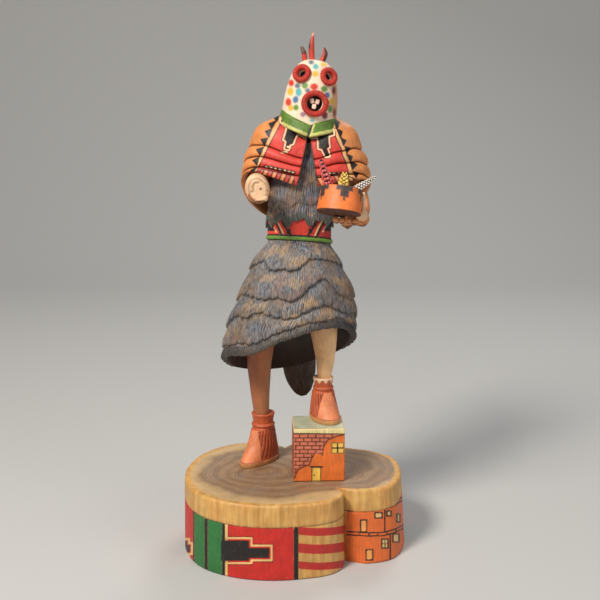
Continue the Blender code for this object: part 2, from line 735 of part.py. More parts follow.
# Each ear's foot and tip as shares of the bowl's inner radius at the rim, then heights: a standing
# ear's foot is on the bowl's floor and the leaning one's is under the rim; tips are over the rim.
# Last are its half width, how fast it tapers, and its paint
CORN = {
    "corn_ear_red": ((-0.20, 0.39), (-1.33, -0.08), None, 18.7 * MM, EAR_HALF, 1.5, "red_paint"),
    "corn_ear_yellow": ((0.09, -0.34), (0.06, -0.34), None, 10.7 * MM, EAR_HALF, 4.0, "yellow_paint"),
    "corn_ear_white": ((0.15, 0.38), (1.84, 0.05), -5.3 * MM, 11.2 * MM, EAR_LEAN_HALF, 2.5, "cream_paint"),
}


def make_corn():
    """Three ears of corn that stand or lean in the bowl, with rows of kernels."""
    made = []
    inner = BOWL_RIM_RADIUS - BOWL_WALL
    for name, (low, high, below, above, half, taper, paint) in CORN.items():
        standing = BOWL_FLOOR + GLUE_GAP + half * 0.4
        foot = Vector((low[0] * inner, low[1] * inner, standing if below is None else BOWL_HEIGHT + below))
        tip = Vector((high[0] * inner, high[1] * inner, BOWL_HEIGHT + above))
        axis = (tip - foot).normalized()
        across = axis.orthogonal().normalized()
        over = axis.cross(across)
        rings = []
        for i in range(EAR_ROWS + 1):
            share = i / EAR_ROWS
            body = min(1.0, 0.7 + share) * (1 - 0.62 * share**taper)
            radius = half * body * (1.0 if i % 2 else 0.92)
            middle = foot.lerp(tip, share)
            rings.append([
                BOWL_PLACE @ (middle + (across * math.cos(a) + over * math.sin(a)) * radius)
                for a in angles(8)
            ])
        made.append(loft(name, rings, paint))
    return made


def make_figure():
    """The doll itself, one carving: every form of it is united, then the bowl's room and the holes are cut."""
    body = limb(
        "figure",
        [
            (-0.5, 0.0, 160.0, 17.0, 12.0),
            (-0.5, 0.0, 180.0, 18.0, 12.6),
            (0.2, 0.6, 205.0, 18.0, 13.0),
            (1.8, 2.0, 226.0, 16.0, 13.0),
            (3.6, 3.4, 246.0, 16.0, 13.0),
            (5.0, 4.0, 266.0, 13.0, 12.0),
            (6.4, 4.0, 284.0, 11.0, 11.0),
            (6.8, 4.0, 300.0, 10.0, 10.0),
        ],
        "wood",
        segments=12,
    )
    garments = [make_skirt(), make_sash(), make_shirt(), make_shawl(), make_collar(), make_mask("mask"), make_tail()]
    limbs = [*make_legs(), *make_feet(), *make_right_arm(), *make_left_arm()]
    combine(body, garments + limbs, "UNION")
    cuts = [drill("mouth_hole", *MOUTH, MOUTH_RING_RADIUS - RING_TUBE * 0.8, 4.5 * MM)]
    for side, (turn, share) in EYES.items():
        cuts.append(drill(f"{side}_eye_hole", turn, share, EYE_RING_RADIUS - RING_TUBE, 3.0 * MM))
    combine(body, [*cuts, bowl_room()], "DIFFERENCE")
    return combine(body, make_teeth(), "UNION")


def main():
    clear_scene()
    make_slab()
    make_block()
    make_figure()
    for side, (turn, share) in EYES.items():
        make_ring(f"eye_ring_{side}", turn, share, EYE_RING_RADIUS)
    make_ring("mouth_ring", *MOUTH, MOUTH_RING_RADIUS, wide=1.06)
    make_crest()
    make_bowl()
    make_corn()


main()
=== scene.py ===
# Looks of a carved and painted cottonwood doll that stands on a slab of wood
import math

import bmesh
import bpy
import numpy as np
from mathutils import Matrix, Vector, noise


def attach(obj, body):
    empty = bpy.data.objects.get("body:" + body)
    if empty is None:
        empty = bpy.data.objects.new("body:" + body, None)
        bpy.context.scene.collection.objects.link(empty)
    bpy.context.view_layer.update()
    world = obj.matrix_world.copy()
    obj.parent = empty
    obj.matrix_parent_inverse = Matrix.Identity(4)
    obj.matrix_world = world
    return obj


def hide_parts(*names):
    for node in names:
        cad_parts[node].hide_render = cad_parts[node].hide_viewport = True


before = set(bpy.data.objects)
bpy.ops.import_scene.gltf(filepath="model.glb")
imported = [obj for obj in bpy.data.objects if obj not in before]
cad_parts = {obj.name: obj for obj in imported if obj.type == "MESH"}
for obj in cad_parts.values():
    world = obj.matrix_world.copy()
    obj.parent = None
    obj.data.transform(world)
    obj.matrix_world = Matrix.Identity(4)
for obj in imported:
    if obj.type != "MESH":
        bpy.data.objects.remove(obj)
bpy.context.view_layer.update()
print("frame loaded")

unit = 0.001  # the doll's own unit of length
dollPlace = np.array((0.0039, 0.0006, 0.0603))
# share of the row and column counts below, which keeps all pieces together under a million triangles
fine = 0.78
farAway = 9.0  # a distance that lies outside any painted outline


# Camera and stage

cameraPlan = {"place": (0.0039, -0.8194, 0.383), "down": 12.55, "lens": 64.98, "sensor": 36.0, "picture": 600}


def setCamera(plan):
    data = bpy.data.cameras.new("camera")
    data.lens = plan["lens"]
    data.sensor_width = plan["sensor"]
    data.clip_start = 0.01
    camera = bpy.data.objects.new("camera", data)
    camera.location = plan["place"]
    camera.rotation_euler = (math.radians(90 - plan["down"]), 0, 0)
    bpy.context.scene.collection.objects.link(camera)
    bpy.context.scene.camera = camera


def frontSpot(points):
    # where points fall in the square front view, in its pixels
    down = math.radians(cameraPlan["down"])
    away = points - np.array(cameraPlan["place"])
    depth = away[..., 1] * math.cos(down) - away[..., 2] * math.sin(down)
    rise = away[..., 1] * math.sin(down) + away[..., 2] * math.cos(down)
    middle = cameraPlan["picture"] / 2
    scale = cameraPlan["picture"] * cameraPlan["lens"] / cameraPlan["sensor"]
    return middle + scale * away[..., 0] / depth, middle - scale * rise / depth


def srgb(red, green, blue):
    shares = [level / 255.0 for level in (red, green, blue)]
    return tuple(share / 12.92 if share < 0.0392 else ((share + 0.055) / 1.055) ** 2.4 for share in shares)


stagePlan = {"side": 3.0, "front": -2.5, "back": 1.6, "high": 2.2, "curve": 0.6}


def setStage(plan):
    # a sheet of pale paper that lies flat and curves up behind
    mesh = bpy.data.meshes.new("floor")
    side, back, curve = plan["side"], plan["back"], plan["curve"]
    bend = [(back - curve + curve * math.sin(t), curve - curve * math.cos(t))
            for t in np.linspace(0, math.pi / 2, 12)]
    rows = [(plan["front"], 0.0), *bend, (back, plan["high"])]
    points = [(x, y, z) for y, z in rows for x in (-side, side)]
    mesh.from_pydata(points, [], [(2 * i, 2 * i + 1, 2 * i + 3, 2 * i + 2) for i in range(len(rows) - 1)])
    mesh.shade_smooth()
    floor = bpy.data.objects.new("floor", mesh)
    paper = bpy.data.materials.new("paper")
    paper.use_nodes = True
    shader = paper.node_tree.nodes["Principled BSDF"]
    shader.inputs["Base Color"].default_value = (*srgb(196, 194, 190), 1)
    shader.inputs["Roughness"].default_value = 0.9
    mesh.materials.append(paper)
    bpy.context.scene.collection.objects.link(floor)


lampPlan = {
    "key": ((-0.62, -0.85, 1.20), 0.40, 21.5, (1.0, 0.96, 0.90)),
    "fill": ((0.95, -0.75, 0.75), 0.70, 3.0, (0.95, 0.97, 1.0)),
    "rim": ((0.35, 0.85, 1.15), 0.50, 5.0, (1.0, 1.0, 1.0)),
}
lampAim = Vector((0, 0, 0.2))
skyPlan = {"colour": (0.90, 0.93, 1.0), "strength": 0.25}


def setLamps(plan):
    for name, (place, size, power, colour) in plan.items():
        data = bpy.data.lights.new(name, "AREA")
        data.shape = "DISK"
        data.size = size
        data.energy = power
        data.color = colour
        lamp = bpy.data.objects.new(name, data)
        lamp.location = place
        lamp.rotation_euler = (lampAim - Vector(place)).to_track_quat("-Z", "Y").to_euler()
        bpy.context.scene.collection.objects.link(lamp)
    world = bpy.data.worlds.new("studio")
    world.use_nodes = True
    sky = world.node_tree.nodes["Background"]
    sky.inputs["Color"].default_value = (*skyPlan["colour"], 1)
    sky.inputs["Strength"].default_value = skyPlan["strength"]
    bpy.context.scene.world = world


setCamera(cameraPlan)
setStage(stagePlan)
setLamps(lampPlan)
bpy.context.scene.view_settings.view_transform = "Standard"
print("camera, floor and lamps set")


# Curves and grids of points

def smoothMix(before, first, last, after, u):
    return 0.5 * (2 * first + (last - before) * u + (2 * before - 5 * first + 4 * last - after) * u * u
                  + (3 * first - before - 3 * last + after) * u**3)


def aroundBody(values, angle):
    values = np.asarray(values, float)
    count = len(values)
    place = (np.asarray(angle) / (2 * np.pi)) % 1.0 * count
    i = np.floor(place).astype(int)
    return smoothMix(*(values[(i + k) % count] for k in (-1, 0, 1, 2)), place - i)


def downRows(rows, share):
    rows = np.asarray(rows, float)
    last = len(rows) - 1
    place = np.clip(np.asarray(share, float), 0, 1) * last
    i = np.minimum(place.astype(int), last - 1)
    return smoothMix(*(rows[np.clip(i + k, 0, last)] for k in (-1, 0, 1, 2)), (place - i)[..., None])


def ovalEdge(angle, power):
    s, c = np.sin(angle), np.cos(angle)
    return np.sign(s) * np.abs(s) ** (2 / power), -np.sign(c) * np.abs(c) ** (2 / power)


def dollPoint(x, y, z):
    return np.stack(np.broadcast_arrays(x, y, z), -1) * unit + dollPlace


def turns(count):
    # angles round a body from its back, so that the seam is behind
    return np.linspace(-np.pi, np.pi, max(8, int(count)), endpoint=False)


def skinNormals(grid, wrap=True):
    along = np.roll(grid, -1, 1) - np.roll(grid, 1, 1) if wrap else np.gradient(grid, axis=1)
    normal = np.cross(along, np.gradient(grid, axis=0))
    normal /= np.maximum(np.linalg.norm(normal, axis=-1, keepdims=True), 1e-12)
    if ((grid - grid.mean(axis=1, keepdims=True)) * normal).sum() < 0:
        normal = -normal
    return normal


def carved(grid, depth, wrap=True):
    return grid + skinNormals(grid, wrap) * depth[..., None]


def limbGrid(stations, rows, columns, power=2.0):
    share = np.linspace(0, 1, max(6, int(rows * fine)))[:, None]
    angle = turns(columns * fine)[None, :]
    row = downRows(stations, share)
    sx, sy = ovalEdge(angle, power)
    return dollPoint(row[..., 0] + row[..., 3] * sx, row[..., 1] + row[..., 4] * sy, row[..., 2] + 0 * sx)


def tubeGrid(path, radii, rows, columns, flat=1.0, side=(1, 0, 0)):
    # path in doll units; flat squeezes the form across its side direction
    share = np.linspace(0, 1, max(6, int(rows * fine)))
    row = downRows([[*p, r] for p, r in zip(path, radii)], share)
    points = row[:, :3]
    along = np.gradient(points, axis=0)
    along /= np.linalg.norm(along, axis=1, keepdims=True)
    side = np.asarray(side, float)
    across = side - along * (along @ side)[:, None]
    across /= np.linalg.norm(across, axis=1, keepdims=True)
    over = np.cross(along, across)
    angle = turns(columns * fine)
    sine, cosine = np.sin(angle)[None, :, None], np.cos(angle)[None, :, None]
    ring = across[:, None] * sine + over[:, None] * flat * cosine
    return (points[:, None] + ring * row[:, 3][:, None, None]) * unit + dollPlace


def turnedGrid(profile, matrix, columns):
    # profile is a list of (radius, height) in metres
    angle = turns(columns * fine)
    profile = np.asarray(profile, float)
    local = np.stack([
        profile[:, 0:1] * np.sin(angle), -profile[:, 0:1] * np.cos(angle), profile[:, 1:2] + 0 * angle,
    ], -1)
    matrix = np.array(matrix)
    return local @ matrix[:3, :3].T + matrix[:3, 3]


# Random fields and painted outlines

def roundNoise(turn, along, seed, across, down):
    # smooth chance between 0 and 1 that closes on itself after a full turn
    table = np.random.default_rng(seed).random((across, down + 2))
    u, v = (turn % 1.0) * across, np.clip(along, 0, 1) * down
    i, j = np.floor(u).astype(int), np.floor(v).astype(int)
    fu, fv = u - i, v - j
    fu, fv = fu * fu * (3 - 2 * fu), fv * fv * (3 - 2 * fv)
    a, b = table[i % across, j], table[(i + 1) % across, j]
    c, d = table[i % across, j + 1], table[(i + 1) % across, j + 1]
    return (a * (1 - fu) + b * fu) * (1 - fv) + (c * (1 - fu) + d * fu) * fv


def pointNoise(grid, size, seed=0.0):
    # smooth noise in space, about -1 to 1, with lumps of that size in metres
    flat = (grid.reshape(-1, 3) / size + seed).tolist()
    return np.array([noise.noise(p) for p in flat]).reshape(grid.shape[:-1])


def stripAway(place, low, high):
    return np.abs(place - (low + high) / 2) - (high - low) / 2


def boxAway(x, y, x0, y0, x1, y1):
    return np.maximum(stripAway(x, x0, x1), stripAway(y, y0, y1))


def lineAway(x, y, points, half):
    best = np.full(np.shape(x), 1e3)
    for (ax, ay), (bx, by) in zip(points, points[1:]):
        dx, dy = bx - ax, by - ay
        t = np.clip(((x - ax) * dx + (y - ay) * dy) / max(dx * dx + dy * dy, 1e-9), 0, 1)
        best = np.minimum(best, np.hypot(x - ax - t * dx, y - ay - t * dy))
    return best - half


def shapeAway(x, y, points):
    # distance to a closed outline, negative inside it
    closed = [*points, points[0]]
    inside = np.zeros(np.shape(x), bool)
    for (ax, ay), (bx, by) in zip(closed, closed[1:]):
        if ay != by:
            inside ^= ((ay > y) != (by > y)) & (x < (bx - ax) * (y - ay) / (by - ay) + ax)
    away = lineAway(x, y, closed, 0)
    return np.where(inside, -away, away)


def anyOf(*fields):
    return np.minimum.reduce(np.broadcast_arrays(*fields))


def allOf(*fields):
    return np.maximum.reduce(np.broadcast_arrays(*fields))


def strips(place, spans):
    return anyOf(*(stripAway(place, low, high) for low, high in spans))


def boxes(x, y, corners):
    return anyOf(*(boxAway(x, y, *corner) for corner in corners))


def lines(x, y, routes, half):
    return anyOf(*(lineAway(x, y, route, half) for route in routes))


def shapes(x, y, outlines):
    return anyOf(*(shapeAway(x, y, outline) for outline in outlines))


def rimAway(away, reach, half):
    # a line drawn round an outline, that far outside it
    return np.abs(away - reach) - half


def nearness(away, reach):
    # 1 on a line and 0 from that reach on
    return np.clip(1 - np.abs(away) / reach, 0, 1)


# Meshes

def gridPiece(name, grid, wrap=True, caps=(True, True), loop=False, fields=None, sharp=38):
    rows, columns = grid.shape[:2]
    points = grid.reshape(-1, 3)
    index = np.arange(rows * columns).reshape(rows, columns)
    if wrap:
        index = np.concatenate([index, index[:, :1]], axis=1)
    if loop:
        index = np.concatenate([index, index[:1]], axis=0)
    quads = np.stack([index[:-1, :-1], index[:-1, 1:], index[1:, 1:], index[1:, :-1]], -1).reshape(-1, 4)
    fields = {key: np.broadcast_to(value, (rows, columns)).reshape(-1)
              for key, value in (fields or {}).items()}
    tips = []
    for ring, wanted in ((0, caps[0]), (rows - 1, caps[1])):
        if wanted and not loop and wrap:
            centre = len(points)
            points = np.concatenate([points, grid[ring].mean(axis=0)[None]])
            fields = {key: np.append(value, value[ring * columns:(ring + 1) * columns].mean())
                      for key, value in fields.items()}
            edge = index[ring]
            fan = [(edge[i], edge[i + 1], centre) for i in range(columns)]
            tips += [tuple(reversed(f)) for f in fan] if ring == 0 else fan
    tips = np.array(tips, int).reshape(-1, 3)[:, ::-1]
    a, b, c, d = (points[quads[:, k]] for k in range(4))
    volume = np.einsum("ij,ij->", a, np.cross(b, c)) + np.einsum("ij,ij->", a, np.cross(c, d))
    if volume < 0:
        quads, tips = quads[:, ::-1], tips[:, ::-1]
    mesh = bpy.data.meshes.new(name)
    mesh.from_pydata(points.tolist(), [], quads.tolist() + tips.tolist())
    for key, value in fields.items():
        mesh.attributes.new(key, "FLOAT", "POINT").data.foreach_set("value", value.astype(np.float32))
    mesh.shade_smooth()
    if sharp:
        mesh.set_sharp_from_angle(angle=math.radians(sharp))
    piece = bpy.data.objects.new(name, mesh)
    bpy.context.scene.collection.objects.link(piece)
    return piece


def joinPieces(name, pieces):
    # one mesh from several, with their fields kept
    bpy.ops.object.select_all(action="DESELECT")
    for piece in pieces:
        piece.select_set(True)
    bpy.context.view_layer.objects.active = pieces[0]
    bpy.ops.object.join()
    pieces[0].name = name
    pieces[0].data.name = name
    return pieces[0]


def dress(piece, look, node):
    piece.data.materials.clear()
    piece.data.materials.append(look)
    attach(piece, "root")
    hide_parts(node)
    return piece


# Node helpers and shared effects

def addNode(tree, kind, inputs=None, **settings):
    node = tree.nodes.new(kind)
    for key, value in settings.items():
        setattr(node, key, value)
    for key, value in (inputs or {}).items():
        if isinstance(value, bpy.types.NodeSocket):
            tree.links.new(value, node.inputs[key])
        else:
            node.inputs[key].default_value = value
    return node


def mixColour(tree, factor, first, second, blend="MIX"):
    node = tree.nodes.new("ShaderNodeMix")
    node.data_type = "RGBA"
    node.blend_type = blend
    node.clamp_factor = True
    for socket, value in ((node.inputs[0], factor), (node.inputs[6], first), (node.inputs[7], second)):
        if isinstance(value, bpy.types.NodeSocket):
            tree.links.new(value, socket)
        elif isinstance(value, tuple):
            socket.default_value = (*value[:3], 1.0)
        else:
            socket.default_value = value
    return node.outputs[2]


def maths(tree, operation, first, second=0.0, third=0.0):
    return addNode(tree, "ShaderNodeMath", {0: first, 1: second, 2: third}, operation=operation).outputs[0]


def vectorMaths(tree, operation, inputs, output=0):
    return addNode(tree, "ShaderNodeVectorMath", inputs, operation=operation).outputs[output]


def tinted(tree, colour, share, strength, paint):
    # that colour with a share of a paint over it
    return mixColour(tree, maths(tree, "MULTIPLY", share, strength), colour, paint)


def ranged(tree, value, low, high, toLow=0.0, toHigh=1.0, smooth=False):
    return addNode(
        tree, "ShaderNodeMapRange",
        {"Value": value, "From Min": low, "From Max": high, "To Min": toLow, "To Max": toHigh},
        interpolation_type="SMOOTHSTEP" if smooth else "LINEAR",
    ).outputs[0]


def field(tree, name):
    return addNode(tree, "ShaderNodeAttribute", attribute_name=name).outputs["Fac"]


def speckle(tree, size, stretch=(1, 1, 1), detail=3.0):
    # noise whose lumps are about that size in metres
    place = addNode(tree, "ShaderNodeTexCoord").outputs["Object"]
    mapping = addNode(tree, "ShaderNodeMapping", {"Vector": place, "Scale": stretch}).outputs[0]
    settings = {"Vector": mapping, "Scale": 1.0 / size, "Detail": detail}
    return addNode(tree, "ShaderNodeTexNoise", settings).outputs[0]


def newGroup(name, inputs, outputs):
    group = bpy.data.node_groups.new(name, "ShaderNodeTree")
    for kind, rows in (("INPUT", inputs), ("OUTPUT", outputs)):
        for label, value in rows:
            socketKind = "NodeSocketColor" if isinstance(value, tuple) else "NodeSocketFloat"
            socket = group.interface.new_socket(name=label, in_out=kind, socket_type=socketKind)
            if kind == "INPUT":
                socket.default_value = (*value[:3], 1.0) if isinstance(value, tuple) else value
    return group, group.nodes.new("NodeGroupInput"), group.nodes.new("NodeGroupOutput")


def makeBrushEdge():
    # turns a distance to a painted outline into a slightly unsteady brushed edge
    group, given, result = newGroup(
        "brushEdge", [("Distance", 0.0), ("Soft", 0.35), ("Wobble", 0.5)], [("Mask", 0.0)])
    wobble = ranged(group, speckle(group, 0.0016, detail=2.0), 0.0, 1.0, -1.0, 1.0)
    moved = maths(group, "MULTIPLY_ADD", wobble, given.outputs["Wobble"], given.outputs["Distance"])
    softBack = maths(group, "MULTIPLY", given.outputs["Soft"], -1.0)
    group.links.new(ranged(group, moved, given.outputs["Soft"], softBack), result.inputs["Mask"])
    return group


def makeWoodPaint():
    # thin paint over carved wood: mottled, streaked with the grain, darkened in the cuts as painted shade,
    # rubbed on the ridges
    group, given, result = newGroup(
        "woodPaint",
        [("Colour", (0.5, 0.5, 0.5)), ("Groove", 0.0), ("Ridge", 0.0), ("Mottle", 0.2), ("Rub", 0.3)],
        [("Colour", (0.5, 0.5, 0.5)), ("Roughness", 0.5), ("Height", 0.0)],
    )
    patches = ranged(group, speckle(group, 0.010, detail=5.0), 0.3, 0.7, -1.0, 1.0)
    streaks = ranged(group, speckle(group, 0.0011, (1, 1, 0.09), 3.0), 0.3, 0.7, -1.0, 1.0)
    both = maths(group, "MULTIPLY_ADD", patches, 0.6, maths(group, "MULTIPLY", streaks, 0.45))
    tone = maths(group, "MULTIPLY_ADD", both, given.outputs["Mottle"], 1.0)
    toned = vectorMaths(group, "SCALE", {0: given.outputs["Colour"], 3: tone})
    rubbed = ranged(group, speckle(group, 0.0035, detail=6.0), 0.56, 0.66)
    rubShare = maths(group, "MULTIPLY", rubbed, given.outputs["Rub"])
    pale = mixColour(group, rubShare, toned, srgb(214, 178, 132))
    ridged = tinted(group, pale, given.outputs["Ridge"], 0.5, srgb(228, 204, 172))
    # the dark brown that the Groove field mixes in is painted shade in cuts, creases and hollows
    dark = mixColour(group, 0.86, ridged, srgb(38, 20, 12))
    group.links.new(mixColour(group, given.outputs["Groove"], ridged, dark), result.inputs["Colour"])
    group.links.new(ranged(group, patches, -1.0, 1.0, 0.42, 0.62), result.inputs["Roughness"])
    height = maths(group, "MULTIPLY_ADD", streaks, 0.35, maths(group, "MULTIPLY", rubShare, -0.6))
    group.links.new(height, result.inputs["Height"])
    return group


brushEdge = makeBrushEdge()
woodPaint = makeWoodPaint()


def edgeMask(tree, name, soft=0.35, wobble=0.5):
    node = tree.nodes.new("ShaderNodeGroup")
    node.node_tree = brushEdge
    tree.links.new(field(tree, name), node.inputs["Distance"])
    node.inputs["Soft"].default_value = soft
    node.inputs["Wobble"].default_value = wobble
    return node.outputs["Mask"]


def paintedLook(name, base, layers=(), groove=None, ridge=None, mottle=0.2, rub=0.1, bump=0.2, wobble=0.5,
                soft=0.35):
    # base is a colour or a function that gives one; each layer is (field, colour)
    look = bpy.data.materials.new(name)
    look.use_nodes = True
    tree = look.node_tree
    shader = tree.nodes["Principled BSDF"]
    colour = base(tree) if callable(base) else base
    for fieldName, paint in layers:
        colour = mixColour(tree, edgeMask(tree, fieldName, soft, wobble), colour, paint)
    node = tree.nodes.new("ShaderNodeGroup")
    node.node_tree = woodPaint
    if isinstance(colour, tuple):
        node.inputs["Colour"].default_value = (*colour, 1.0)
    else:
        tree.links.new(colour, node.inputs["Colour"])
    node.inputs["Mottle"].default_value = mottle
    node.inputs["Rub"].default_value = rub
    if groove:
        tree.links.new(field(tree, groove), node.inputs["Groove"])
    if ridge:
        tree.links.new(field(tree, ridge), node.inputs["Ridge"])
    tree.links.new(node.outputs["Colour"], shader.inputs["Base Color"])
    tree.links.new(node.outputs["Roughness"], shader.inputs["Roughness"])
    relief = {"Height": node.outputs["Height"], "Strength": bump, "Distance": 0.0006}
    raised = addNode(tree, "ShaderNodeBump", relief)
    tree.links.new(raised.outputs[0], shader.inputs["Normal"])
    return look


blackPaint = srgb(30, 24, 22)
print("paint groups ready")


# The slab

slabPlan = {
    "thickness": 0.060,
    "edgeRound": 0.002,
    "bigCentre": (-0.0241, -0.0014),
    "bigRadii": [62, 56, 52, 55, 66.5, 71.3, 68.8, 65.2, 64, 65, 67, 67.5, 68.8, 72.4, 78.5, 69],
    "bigFlare": 0.001,
    "smallCentre": (0.0289, 0.0106),
    "smallRadii": [56.2, 55.8, 50.8, 46.4, 50, 62, 56, 40, 34, 34, 36, 40, 46, 54.5, 61.8, 58.5],
    "smallFlare": 0.004,
    "notch": (0.0319, -0.0356),
    "notchLean": 0.003,
    "notchWalls": [(0.007, -0.016), (0.040, -0.015)],
    "crowd": 0.155,
    "bandHeight": 0.0425,
    "pixel": 0.00075,
}
# what is painted round the slab, in front-view places, and the width of a panel behind
slabArt = {
    "split": 345.5,
    "reds": [(150, 193), (227.6, 293.8)],
    "greens": [(194.5, 204.5), (207.7, 222)],
    "blacks": [(193, 194.5), (204.5, 207.7), (222, 225), (293.8, 298.5)],
    "arrow": [(221, 540.5, 249, 560.8), (240, 548, 269.3, 558)],
    "leftMotif": [(170, 541, 187, 556), (187, 545, 190, 552)],
    "stripes": [(528, 536), (544.5, 554), (562.5, 570)],
    "doors": [(360.6, 520, 366.7, 532), (366, 549.7, 372.7, 560)],
    "windows": [(375, 512.7, 382, 518), (387, 511, 391, 516), (397, 514, 400, 522), (381.8, 539, 388, 548),
                (393, 534, 399, 542)],
    "bars": [[(384.9, 539), (384.9, 548)], [(381, 543.5), (389, 543.5)]],
    "courses": [[(345, 507.4), (365, 508.2), (384.5, 505.6), (395, 501.5), (406, 495)],
                [(345, 531.4), (370, 532.8), (384.5, 532.2), (395, 529.2), (408, 522.5)]],
    "courseGap": 3.3,
    "ticks": range(351, 408, 9),
    "corners": [[(384.8, 510), (384.8, 531)], [(390.3, 534), (390.3, 560)]],
    "backPanel": 60,
}


def slabReach(height, inset, direction):
    plan = slabPlan
    best = np.zeros_like(direction)
    for side in ("big", "small"):
        turn = np.linspace(0, 2 * np.pi, 2400, endpoint=False)
        out = plan[side + "Flare"] * (1 - height / plan["thickness"]) + inset
        reach = aroundBody(plan[side + "Radii"], turn) * 0.001 + out
        x = plan[side + "Centre"][0] + reach * np.cos(turn)
        y = plan[side + "Centre"][1] + reach * np.sin(turn)
        theta = np.arctan2(y, x)
        order = np.argsort(theta)
        best = np.maximum(best, np.interp(direction, theta[order], np.hypot(x, y)[order], period=2 * np.pi))
    tipX = plan["notch"][0] + plan["notchLean"] * (1 - (height + 0.01) / (plan["thickness"] + 0.02))
    tipY = plan["notch"][1]
    ex, ey = np.cos(direction), np.sin(direction)
    for dx, dy in plan["notchWalls"]:
        # where a ray meets one wall of the cleft
        cross = ex * dy - ey * dx
        cross = np.where(np.abs(cross) < 1e-9, 1e-9, cross)
        along = (tipX * dy - tipY * dx) / cross
        share = (tipX * ey - tipY * ex) / cross
        hit = (share >= 0) & (share <= 1) & (along > 0)
        best = np.where(hit, np.minimum(best, np.maximum(along, 0.01)), best)
    return best


def makeSlab():
    plan = slabPlan
    high, bevel = plan["thickness"], plan["edgeRound"]
    # the columns start behind and crowd together on the painted front
    turn = np.linspace(0, 2 * np.pi, int(860 * fine), endpoint=False)
    direction = turn + np.pi / 2 + plan["crowd"] * np.sin(2 * turn) * (1 - np.cos(turn))
    direction = (direction + np.pi) % (2 * np.pi) - np.pi
    levels = [(0.0002, -0.001), (0.0009, -0.0002)]
    levels += [(z, 0.0) for z in np.linspace(0.0015, high - bevel, int(84 * fine))]
    levels += [(high - bevel * (1 - math.sin(t)), -bevel * (1 - math.cos(t))) for t in (0.45, 0.9, 1.25)]
    levels += [(high, -bevel)]
    rows = []
    for z, inset in levels:
        reach = slabReach(z, inset, direction)
        rows.append(np.stack([reach * np.cos(direction), reach * np.sin(direction), 0 * reach + z], -1))
    side = np.array(rows)
    chips = pointNoise(side, 0.0045, 3.1)
    waves = pointNoise(side, 0.016, 7.7)
    nearTop = np.clip(1 - (high - side[..., 2]) / 0.004, 0, 1)
    wear = 0.00025 * waves + 0.00008 * chips - 0.0009 * nearTop * np.clip(chips - 0.25, 0, 1)
    line = np.abs(side[..., 2] - plan["bandHeight"]) < 0.0005
    lift = np.clip(side[..., 2] / 0.002, 0, 1)
    side = carved(side, (wear - 0.00035 * line) * lift)
    side[..., 2] = np.clip(side[..., 2], 0.0, high)
    shares = 1 - np.linspace(0, 1, int(15 * fine) + 2)[1:-1] ** 0.8
    rim = side[-1]
    top = np.stack([np.stack([rim[:, 0] * s, rim[:, 1] * s, np.full(len(rim), high)], -1) for s in shares])
    grid = np.concatenate([side, top])
    piece = gridPiece("slabWood", grid, fields=slabPaint(grid, len(side)))
    dress(piece, slabLook(), "base_slab")


def slabPaint(grid, sideRows):
    art = slabArt
    x, y = frontSpot(grid)
    normal = skinNormals(grid)
    normal[..., 2] = 0
    towards = (normal * (grid - np.array(cameraPlan["place"]))).sum(-1) < 0
    isSide = np.zeros(grid.shape[:2], bool)
    isSide[:sideRows] = True
    seen = towards & isSide & (grid[..., 1] < 0.03)
    onBig, onSmall = seen & (x <= art["split"]), seen & (x > art["split"])
    band = (grid[..., 2] - slabPlan["bandHeight"]) / slabPlan["pixel"]

    def painted(where, value):
        return np.where(where, allOf(value, band), farAway)

    arrow, leftMotif = boxes(x, y, art["arrow"]), boxes(x, y, art["leftMotif"])
    black = anyOf(
        strips(x, art["blacks"]), arrow, leftMotif, allOf(rimAway(arrow, 3.9, 0.4), 227 - x),
        allOf(rimAway(x, 228.2, 0.4), anyOf(y - 537, 564 - y)))
    cream = anyOf(
        allOf(stripAway(x, 225, 227.6), anyOf(y - 538, 563 - y)), allOf(rimAway(arrow, 2.4, 1.0), 226.4 - x),
        rimAway(leftMotif, 2.0, 1.0))
    # the stripes sag a little in the middle of their panel
    level = y + 2.2 * ((x - 318) / 24) ** 2
    stripes = allOf(stripAway(x, 298.5, 346), strips(level, art["stripes"]))
    doors, windows = boxes(x, y, art["doors"]), boxes(x, y, art["windows"])
    bars = allOf(windows, lines(x, y, art["bars"], 0.45))
    panes = anyOf(rimAway(windows, 0, 0.75), rimAway(doors, 0, 0.75), bars)
    # pairs of thin lines with ticks between them stand for the courses of the walls
    courses, ticks = [], []
    for route in art["courses"]:
        courses += [route, [(a, b + art["courseGap"]) for a, b in route]]
        across, level = zip(*route)
        for tick in art["ticks"]:
            start = float(np.interp(tick, across, level))
            ticks.append([(tick, start), (tick, start + art["courseGap"])])
    joints = anyOf(lines(x, y, courses, 0.7), lines(x, y, ticks, 0.6))
    walls = anyOf(joints, lines(x, y, art["corners"], 0.75), panes)
    # behind, the same colours go round in plain panels
    behind = isSide & ~seen
    around = np.arctan2(grid[..., 1], grid[..., 0]) * 72
    panel = np.abs((around + 20) % art["backPanel"] - art["backPanel"] / 2)
    return {
        "side": np.where(isSide, -3.0, farAway),
        "bandLine": np.where(isSide, rimAway(band, 0, 0.55), farAway),
        "redPaint": anyOf(painted(onBig, strips(x, art["reds"])), painted(behind, 12 - panel)),
        "greenPaint": anyOf(painted(onBig, strips(x, art["greens"])), painted(behind, panel - 8)),
        "darkRedPaint": painted(onBig, stripes),
        "adobePaint": np.where(onSmall, band, farAway),
        "creamPaint": anyOf(painted(onBig, cream), painted(onSmall, windows)),
        "blackPaint": anyOf(
            painted(onBig, black), painted(onSmall, walls), painted(behind, rimAway(panel, 10, 1.6))),
        "doorPaint": painted(onSmall, doors),
    }


